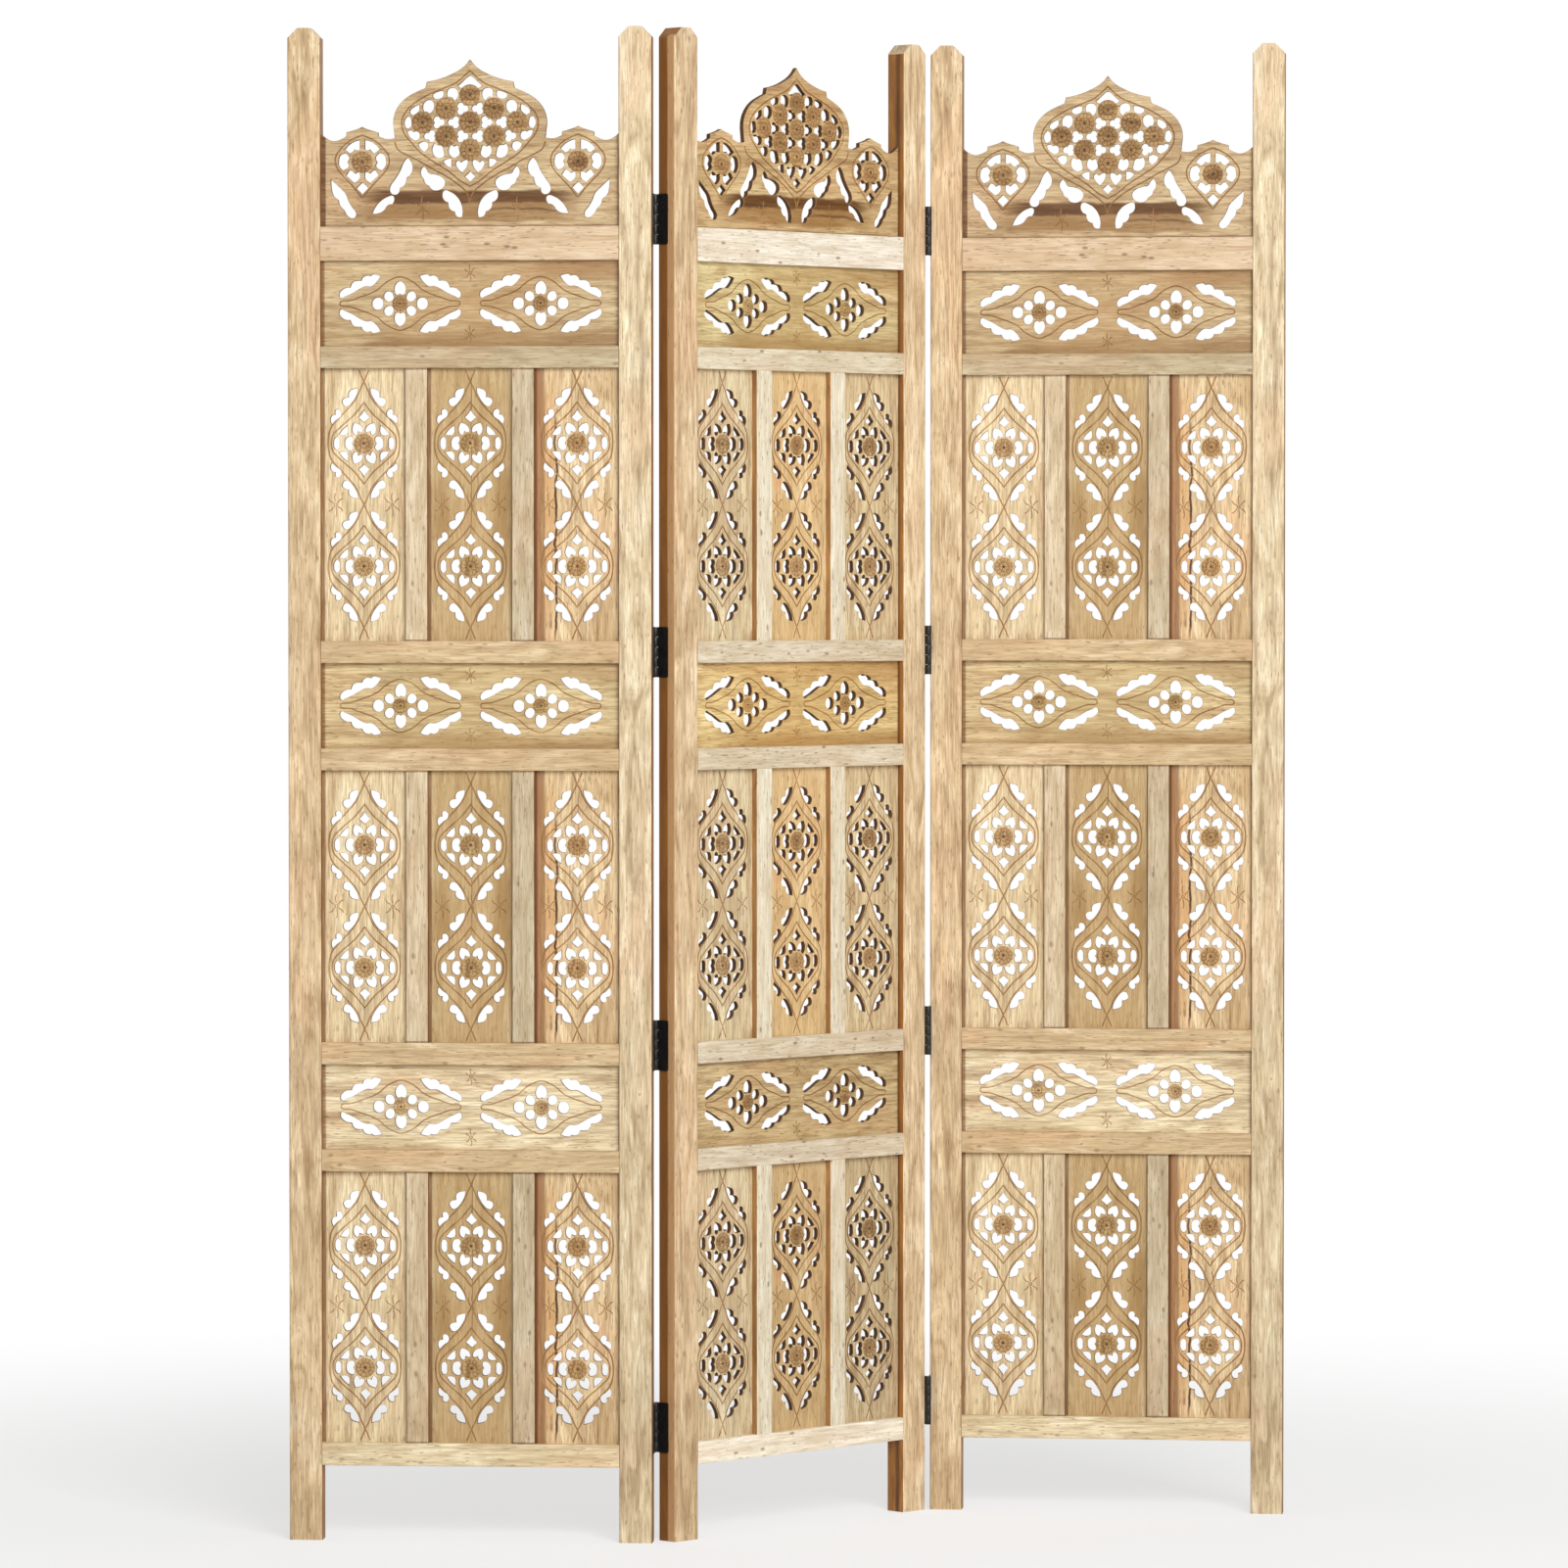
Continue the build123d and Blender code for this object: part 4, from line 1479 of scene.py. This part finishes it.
@dataclass
class Crest(Boards):
    """The carved board over the top rail: a lattice of rosettes between two small flowers."""

    growth: float = 0.3
    rosette_scale: float = 1.06
    right_edge: Outline = sketch(
        "0,181.5! 4,176.4 9.5,171.4 17.5,166.8 28,162.2 38,159.2 47.2,157.4! 48.8,150.6! 58.5,146.4 "
        "69.5,140.2 78,131.6 82.6,122.4 84,113 83.2,104 82.4,96.2! 91,95.4 100.4,98.6! 100.6,102.8! "
        "109,105.2 114.6,107.2 118,108.9! 121.4,107.2 127,105.2 135.4,102.8! 135.6,98.4! 142,95 149,93.4 "
        "156,95.6 163,101! 168.7,101! 168.7,-5.7!"
    )
    window: Outline = sketch("0,163.6 4.6,161 9,156.6 13.4,152.8! 9.6,150.2! 5,152.2 0,152.8")
    pairs: tuple[Outline, ...] = tuple(map(sketch, (
        "13.2,143.8 14.4,148.2 18.4,150.4 23.4,149.2 25,145 24,140.6! 21,141.2 18.8,139.6! 17,137.4 "
        "14.6,139.4",
        "29.4,147.6! 35,146.4 40.6,142.6 37.6,138.8! 33.6,139.2 29.6,141.6",
        "39.6,130.4 40.4,135 44.6,137.4 49.4,135.4 51.4,130 50.2,125! 47.2,125.4 44.8,123.2! 41.6,125.4",
        "55.8,132.6! 60.4,130.6 65.6,124.6 62,121.4! 58.6,123.6 55.8,126.8",
        "65,118.4! 68.4,120! 71.2,116 71.4,110.4 68.8,106.6! 64.8,109",
        "55.8,101.6 56,96 60,93.8! 66.4,98.4 68.8,103.6! 64.8,104.6 62,102.8! 59,103.6",
        "46.6,91.2! 51,92.4 56.6,89.8! 54.4,85 49.6,81.6! 46.2,86",
        "3.6,72.2 3.4,66.4 8.6,58.8! 14,64.4 15.2,70 12.4,71.4 10.2,69.4! 7,71.6",
        "20.6,73.8! 25,73.4 29.4,71! 25.6,66.6 20.6,64.6!",
        "29.2,81.8 29,76.4 34.2,74.6! 39.2,77.4 41.4,84.4 39.4,90! 36,88.2! 31.4,87.6",
        "12.6,84.4 11.8,78.6 17,74.6! 22.4,78.6 23.2,84 21.4,88.8! 17.8,86.6! 14.2,88",
    )))
    trefoils: tuple[tuple[float, float, float], ...] = (
        (8.8, 128.2, 60), (8.8, 98.2, 60), (17.5, 113.3, 0), (34.8, 113.3, 60), (43.6, 98.4, 0),
    )
    diamond: Outline = sketch("0,60.2! 3,57 5.9,54.4! 3,51.6 0,48.6!")
    leaves: tuple[Outline, ...] = tuple(map(sketch, (
        "28.5,39.4 22,37.8 15.5,33.5 10.6,26.7 8.2,17.5 8.8,10.4! 13.4,10.6 16.4,13.4 17,16.4! 21.4,18.4 "
        "24,22.6 24.2,26.4! 28.6,29 30.6,34.4",
        "50.8,66! 54,61.5 53.6,55.4 51,51.8! 49.6,47.6 45.4,44.8! 43,41.4 38,39.4 32.6,40.4 28.2,44.4 "
        "27.6,49.8 32,54.3 39,57 45.5,58.4 47.4,62",
        "68.6,75.4! 72.6,70.6 76.8,61 82.6,51.6 87.8,43.6 87.6,38 83.4,35 78.4,36.6 76.8,42.4! 72.6,44.4 "
        "70.2,49 69.4,53.6! 65.4,56.6 63,62.6 64,69.6",
        "107.6,14.2! 103.8,22 98.2,28.2 91.4,32.4 84.6,33.6 83,29.6 85.2,24.6! 88.6,24.4 91.6,22.2! "
        "94.6,17.8 100.6,14.8",
        "152.6,51.8! 152,42 149.4,33.6 144.4,29.6! 142.8,23.4 138.6,19! 134.4,12.2 127.8,9.6 124.8,14 "
        "129.4,21.4 133.4,28.4 136.4,36 142,42",
    )))
    side_middle: tuple[float, float] = (118.0, 70.5)
    side_flower: tuple[Outline, ...] = tuple(map(sketch, (
        "3,23.8! 8.6,22.2 14.4,18.6 18.9,13.9! 13.6,9.8! 10.8,11.2 8.6,14.2! 6,13 3,13.6!",
        "14.6,4.6 18.4,9.6! 23.8,7.4 25.6,2 25.2,-4 21.6,-8.8! 15,-4.4 16.6,0!",
        "3.2,-10.8! 3.2,-17.6 8.8,-22.5! 17.6,-14.6! 14.2,-9! 11.2,-9.8 8.4,-12.8! 6.4,-11.6",
    )))
    side_kite: Outline = sketch("0,-22.4! 3.2,-25.4 6.2,-28.4! 3.2,-31.4 0,-35!")
    flowers: tuple[tuple[float, float], ...] = (
        (0, 143), (0, 113.3), (0, 83.2), (26.2, 128.4), (26.2, 98), (52, 113), (118, 70.5),
    )
    inner_line: Outline = sketch(
        "0,169.4! 8.4,161.4 16.4,155.4 28,150.6 42.4,144.8 55,138 66,129.6 73,120 74.6,110.6 72,101.4 "
        "64.6,92 54,80.4 40,70.6 24,60.4 10,49.2 0,43.6!"
    )
    outer_line: Outline = sketch("82.4,92 79,84 70,78.4 57,72 44,64.4 26,54.6 12,44.8 3,36 0,26")
    side_line: Outline = sketch("0,29! 8,26 16,21.4 23.4,14.4 29,6 29,-3 24.6,-11 17.4,-19 9,-28 0,-39.4!")

    def openings(self) -> list[Outline]:
        """Every opening, about the middle of the crest's foot."""
        shapes = [both_sides(self.window), both_sides(self.diamond)]
        for shape in self.pairs:
            shapes += two_ways(grown(shape, self.growth))
        for shape in self.leaves:
            shapes += two_ways(shape)
        for x, z, turn in self.trefoils:
            shapes += two_ways(moved(trefoil(turn), x, z))
        ring = [side for shape in self.side_flower for side in two_ways(shape)]
        for shape in (*ring, both_sides(self.side_kite)):
            shapes += two_ways(moved(grown(shape, self.growth), *self.side_middle))
        return shapes

    def lines(self) -> list[Line]:
        """The engraved lines, about the middle of the crest's foot."""
        made = [(both_sides(self.inner_line), True, 1.0)]
        made += [(side, False, 1.0) for side in two_ways(self.outer_line)]
        closed = moved(both_sides(self.side_line), *self.side_middle)
        made += [(side, True, 1.0) for side in two_ways(closed)]
        return made + spray(52, 20, 13)

    def make(self) -> list[Pattern]:
        """Make the crest and its rosettes.

        Returns:
            Their patterns.
        """
        left, right = self.leaf.box("left_post")[1].x, self.leaf.box("right_post")[0].x
        foot = self.leaf.box("top_rail")[1].z
        middle = (left + right) / 2
        edge = [*self.right_edge, *mirrored(self.right_edge[:0:-1], True)]
        board, front = self.carved("crest", "crest_board", edge)
        piece = twin(board, "crest_board", Matrix.Translation((middle, 0, foot)))
        bpy.data.objects.remove(board)
        places = [*self.flowers, *[(-x, z) for x, z in self.flowers if x]]
        middles = [(middle / MM + x, foot / MM + z) for x, z in places]
        flowers = self.rosette.spread("crest_rosettes", middles, front, self.rosette_scale)
        tints = tinted([(0.82, 0.79, 0.73)], [(0.88, 0.82, 0.68)])
        return [
            Pattern(piece, "crest_board", "crest_wood", ("crest", "sawn", "gouged"), False, tints),
            Pattern(flowers, "crest_board", "crest_wood", ("rosette", "sawn"), False, tints, False),
        ]


# ---------------------------------------------------------------- hinges
@dataclass
class Hinge:
    """A small butt hinge: u out of the post's edge, v out of its face, w up, about its middle."""

    height: float = 55.0 * MM
    plate: float = 1.2 * MM
    plate_width: float = 15.0 * MM
    root: float = 0.6 * MM
    knuckles: int = 5
    knuckle_radius: float = 3.2 * MM
    knuckle_gap: float = 0.35 * MM
    knuckle_easing: float = 0.25 * MM
    arm_foot: float = 0.5 * MM  # how far a knuckle's arm reaches into its plate
    bore: float = 1.56 * MM
    pin_radius: float = 1.5 * MM
    pin_dome: float = 0.5 * MM
    gap: float = 3.0 * MM
    pin_offset: float = 3.25 * MM
    corner: float = 2.0 * MM
    screw_rises: tuple[float, ...] = (-17.5 * MM, 17.5 * MM)
    screw_radius: float = 2.6 * MM
    screw_depth: float = 1.2 * MM
    screw_easing: float = 0.18 * MM
    screw_proud: float = 0.04 * MM
    slot: tuple[float, float] = (0.28 * MM, 1.5 * MM)  # half the width and length of a screw's slots
    sides: int = 32

    @staticmethod
    def is_rim(at: Vector, way: Vector) -> bool:
        """Whether an edge of an upright round bar runs round one of its ends."""
        return abs(way.z) < ACROSS

    def round_bar(self, name: str, radius: float, length: float, middle: float) -> Object:
        """Add an upright round bar on the pin's line.

        Args:
            name: its name.
            radius: its radius.
            length: its length.
            middle: the height of its middle.

        Returns:
            The bar.
        """
        clear_selection()
        place = (self.gap / 2, self.pin_offset, middle)
        bpy.ops.mesh.primitive_cylinder_add(vertices=self.sides, radius=radius, depth=length, location=place)
        return settled(name)

    def side(self, first: int) -> Object:
        """Make one plate with every second knuckle of the barrel.

        Args:
            first: the lowest knuckle that it carries, counted from 0.

        Returns:
            The plate.
        """
        low = Vector((0, -self.plate_width, -self.height / 2))
        piece = blank("plate", low, Vector((self.plate, -self.root, self.height / 2)))
        far = -self.plate_width + 0.1 * MM
        ease(piece, lambda at, way: abs(way.x) > ALONG and at.y < far, self.corner, 4)
        pitch = self.height / self.knuckles
        length = pitch - self.knuckle_gap
        for index in range(first, self.knuckles, 2):
            middle = (index - (self.knuckles - 1) / 2) * pitch
            foot = Vector((0, -self.root - self.arm_foot, middle - length / 2))
            arm = blank("arm", foot, Vector((self.plate, self.pin_offset, middle + length / 2)))
            cut_with(piece, arm, "UNION")
            barrel = self.round_bar("barrel", self.knuckle_radius, length, middle)
            ease(barrel, self.is_rim, self.knuckle_easing, 2)
            cut_with(piece, barrel, "UNION")
        cut_with(piece, self.round_bar("bore", self.bore, self.height * 2, 0), "DIFFERENCE")
        with editing(piece):
            tidy_skin()
        return piece

    def pin(self) -> Object:
        """Make the pin, domed at both ends.

        Returns:
            The pin.
        """
        piece = self.round_bar("pin", self.pin_radius, self.height - 0.2 * MM, 0)
        ease(piece, self.is_rim, self.pin_dome, 3)
        return piece

    def screws(self) -> Object:
        """Make a plate's flat-headed screws, cross-slotted and let in flush.

        Returns:
            The screws.
        """
        made = []
        narrow, long = self.slot
        for rise in self.screw_rises:
            clear_selection()
            out = self.plate + self.screw_proud - self.screw_depth / 2
            place = (out, -self.plate_width / 2 - self.root, rise)
            bpy.ops.mesh.primitive_cylinder_add(
                vertices=28, radius=self.screw_radius, depth=self.screw_depth, location=place,
                rotation=(0, math.pi / 2, 0),
            )
            head = settled("screw")
            ease(head, lambda at, way: abs(way.x) < ACROSS and at.x > out, self.screw_easing, 2)
            at = Vector((self.plate + 0.1 * MM, place[1], rise))
            for wide, tall in ((narrow, long), (long, narrow)):
                reach = Vector((0.5 * MM, wide, tall))
                cut_with(head, blank("slot", at - reach, at + reach), "DIFFERENCE")
            made.append(head)
        return joined("screws", made)


@dataclass
class Folds:
    """The two folds of the screen, each with four hinges."""

    places: dict[str, LeafPlace]
    finishes: Finishes
    hinge: Hinge = field(default_factory=Hinge)

    def heights(self) -> list[float]:
        """The middles of the four hinges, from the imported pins."""
        corners = [corner.co.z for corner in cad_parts["left_fold_pins"].data.vertices]
        levels = sorted(set(round(height, 5) for height in corners))
        return [(low + high) / 2 for low, high in zip(levels[::2], levels[1::2])]

    def plane(self, leaf: str, outward: int, face_way: int, height: float) -> Matrix:
        """The place of one hinge, from its own frame to the row frame.

        Args:
            leaf: the leaf whose edge carries the plate.
            outward: 1 where that edge is the leaf's right one, or -1.
            face_way: 1 where the barrel lies behind, or -1.
            height: the height of its middle.

        Returns:
            The matrix.
        """
        place = self.places[leaf]
        far = place.box("right_post")[1]
        origin = Vector((far.x if outward > 0 else 0, far.y if face_way > 0 else 0, height))
        return place.matrix @ Matrix.Translation(origin) @ Matrix.Diagonal((outward, face_way, 1, 1))

    def make(self) -> None:
        """Make all hinges, pins and screws, and set them in their places."""
        outer_plate, middle_plate = self.hinge.side(0), self.hinge.side(1)
        pin, screws = self.hinge.pin(), self.hinge.screws()
        for fold, outer, outward, face_way in (("left_fold", "left", -1, 1), ("right_fold", "right", 1, -1)):
            for part, leaf, way, model in (
                ("outer_plates", outer, -outward, outer_plate),
                ("outer_screws", outer, -outward, screws),
                ("middle_plates", "middle", outward, middle_plate),
                ("middle_screws", "middle", outward, screws),
                ("pins", "middle", outward, pin),
            ):
                planes = [self.plane(leaf, way, face_way, height) for height in self.heights()]
                whole = joined(f"{fold}_steel_{part}", [twin(model, part, plane) for plane in planes])
                soften(whole, 35)
                self.finishes.dress(whole, "pin" if part == "pins" else "black")
                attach(whole, BODIES[leaf])
                if "screws" not in part:
                    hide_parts(f"{fold}_{part}")
                log.info("%s: %d faces", whole.name, len(whole.data.polygons))
        for model in (outer_plate, middle_plate, pin, screws):
            bpy.data.objects.remove(model)


# ---------------------------------------------------------------- studio
@dataclass
class Studio:
    """A plain pale floor, soft lamps and the camera."""

    camera_at: tuple[float, float, float] = (-0.31344, -8.16217, 1.04730)
    camera_turn: float = 0.03705  # radians towards the right
    camera_dip: float = 0.02738  # radians down
    lens: float = 169.23
    sensor: float = 36.0
    lit: Vector = field(default_factory=lambda: Vector((0, 0, 0.85)))  # where the lamps look
    key_power: float = 275.0
    fill_power: float = 22.0
    sky: float = 0.27

    def camera(self) -> None:
        """Set up the camera."""
        data = bpy.data.cameras.new("camera")
        data.lens, data.sensor_width = self.lens, self.sensor
        camera = bpy.data.objects.new("camera", data)
        camera.location = self.camera_at
        camera.rotation_euler = (math.pi / 2 - self.camera_dip, 0, -self.camera_turn)
        bpy.context.scene.collection.objects.link(camera)
        bpy.context.scene.camera = camera

    def lamp(self, name: str, at: tuple[float, float, float], size: float, power: float) -> None:
        """Add a square soft lamp that looks at the middle of the screen.

        Args:
            name: its name.
            at: where it hangs.
            size: the length of its sides.
            power: its power in watts.
        """
        data = bpy.data.lights.new(name, "AREA")
        data.shape, data.size, data.energy = "SQUARE", size, power
        lamp = bpy.data.objects.new(name, data)
        lamp.location = at
        lamp.rotation_euler = (self.lit - Vector(at)).to_track_quat("-Z", "Y").to_euler()
        bpy.context.scene.collection.objects.link(lamp)

    def sky_light(self) -> None:
        """Light everything a little from all round, in front of a white backdrop."""
        nodes = Nodes("studio", "worlds", "Background")
        bpy.context.scene.world = nodes.owner
        nodes.feed(nodes.shader.inputs["Strength"], nodes.fade(nodes.seen(), 0.0, 1.0, self.sky, 1.0))
        nodes.shader.inputs["Color"].default_value = (1, 1, 1, 1)

    def floor(self) -> None:
        """Lay the floor, which keeps the screen's shadow and fades to white around it."""
        clear_selection()
        bpy.ops.mesh.primitive_circle_add(vertices=64, radius=14, fill_type="NGON", location=(0, 0, 0))
        floor = settled("floor")
        nodes = Nodes("floor_paint")
        nodes.shader.inputs["Base Color"].default_value = paint(244, 243, 241)
        nodes.shader.inputs["Roughness"].default_value = 0.9
        nodes.shader.inputs["Specular IOR Level"].default_value = 0.1
        white = nodes.add("ShaderNodeEmission")
        length = nodes.add("ShaderNodeVectorMath", operation="LENGTH")
        nodes.feed(length.inputs[0], nodes.add("ShaderNodeTexCoord").outputs["Object"])
        away = nodes.fade(length.outputs["Value"], 0.5, 2.4, 0.62, 1.0)
        blend = nodes.add("ShaderNodeMixShader")
        nodes.feed(blend.inputs[0], nodes.math("MULTIPLY", nodes.seen(), away))
        nodes.feed(blend.inputs[1], nodes.shader.outputs[0])
        nodes.feed(blend.inputs[2], white.outputs[0])
        nodes.feed(nodes.tree.nodes["Material Output"].inputs["Surface"], blend.outputs[0])
        floor.data.materials.append(nodes.owner)

    def build(self) -> None:
        """Set up the whole studio."""
        bpy.context.scene.view_settings.view_transform = "Standard"
        self.camera()
        self.lamp("key", (1.25, -5.0, 3.0), 2.8, self.key_power)
        self.lamp("fill", (-2.6, -4.6, 2.0), 3.0, self.fill_power)
        self.lamp("back", (0.6, 4.2, 2.8), 2.6, self.fill_power)
        self.sky_light()
        self.floor()


def main() -> None:
    """Build the screen piece by piece."""
    logging.basicConfig(level=logging.INFO, format="%(name)s: %(message)s")
    Studio().build()
    places = {name: LeafPlace.standing(name) for name in BODIES}
    finishes = Finishes()
    dresser = Dresser(places, finishes)
    model, rosette = places["left"], Rosette()
    timber = Frame(model)
    patterns = [*timber.posts(), *timber.rails(), timber.muntins()]
    for boards in (UprightBoards(model, rosette), Friezes(model, rosette), Crest(model, rosette)):
        patterns += boards.make()
    bpy.data.objects.remove(rosette.model)
    for pattern in patterns:
        dresser.place(pattern)
    Folds(places, finishes).make()
    clear_selection()


if __name__ == "__main__":
    main()
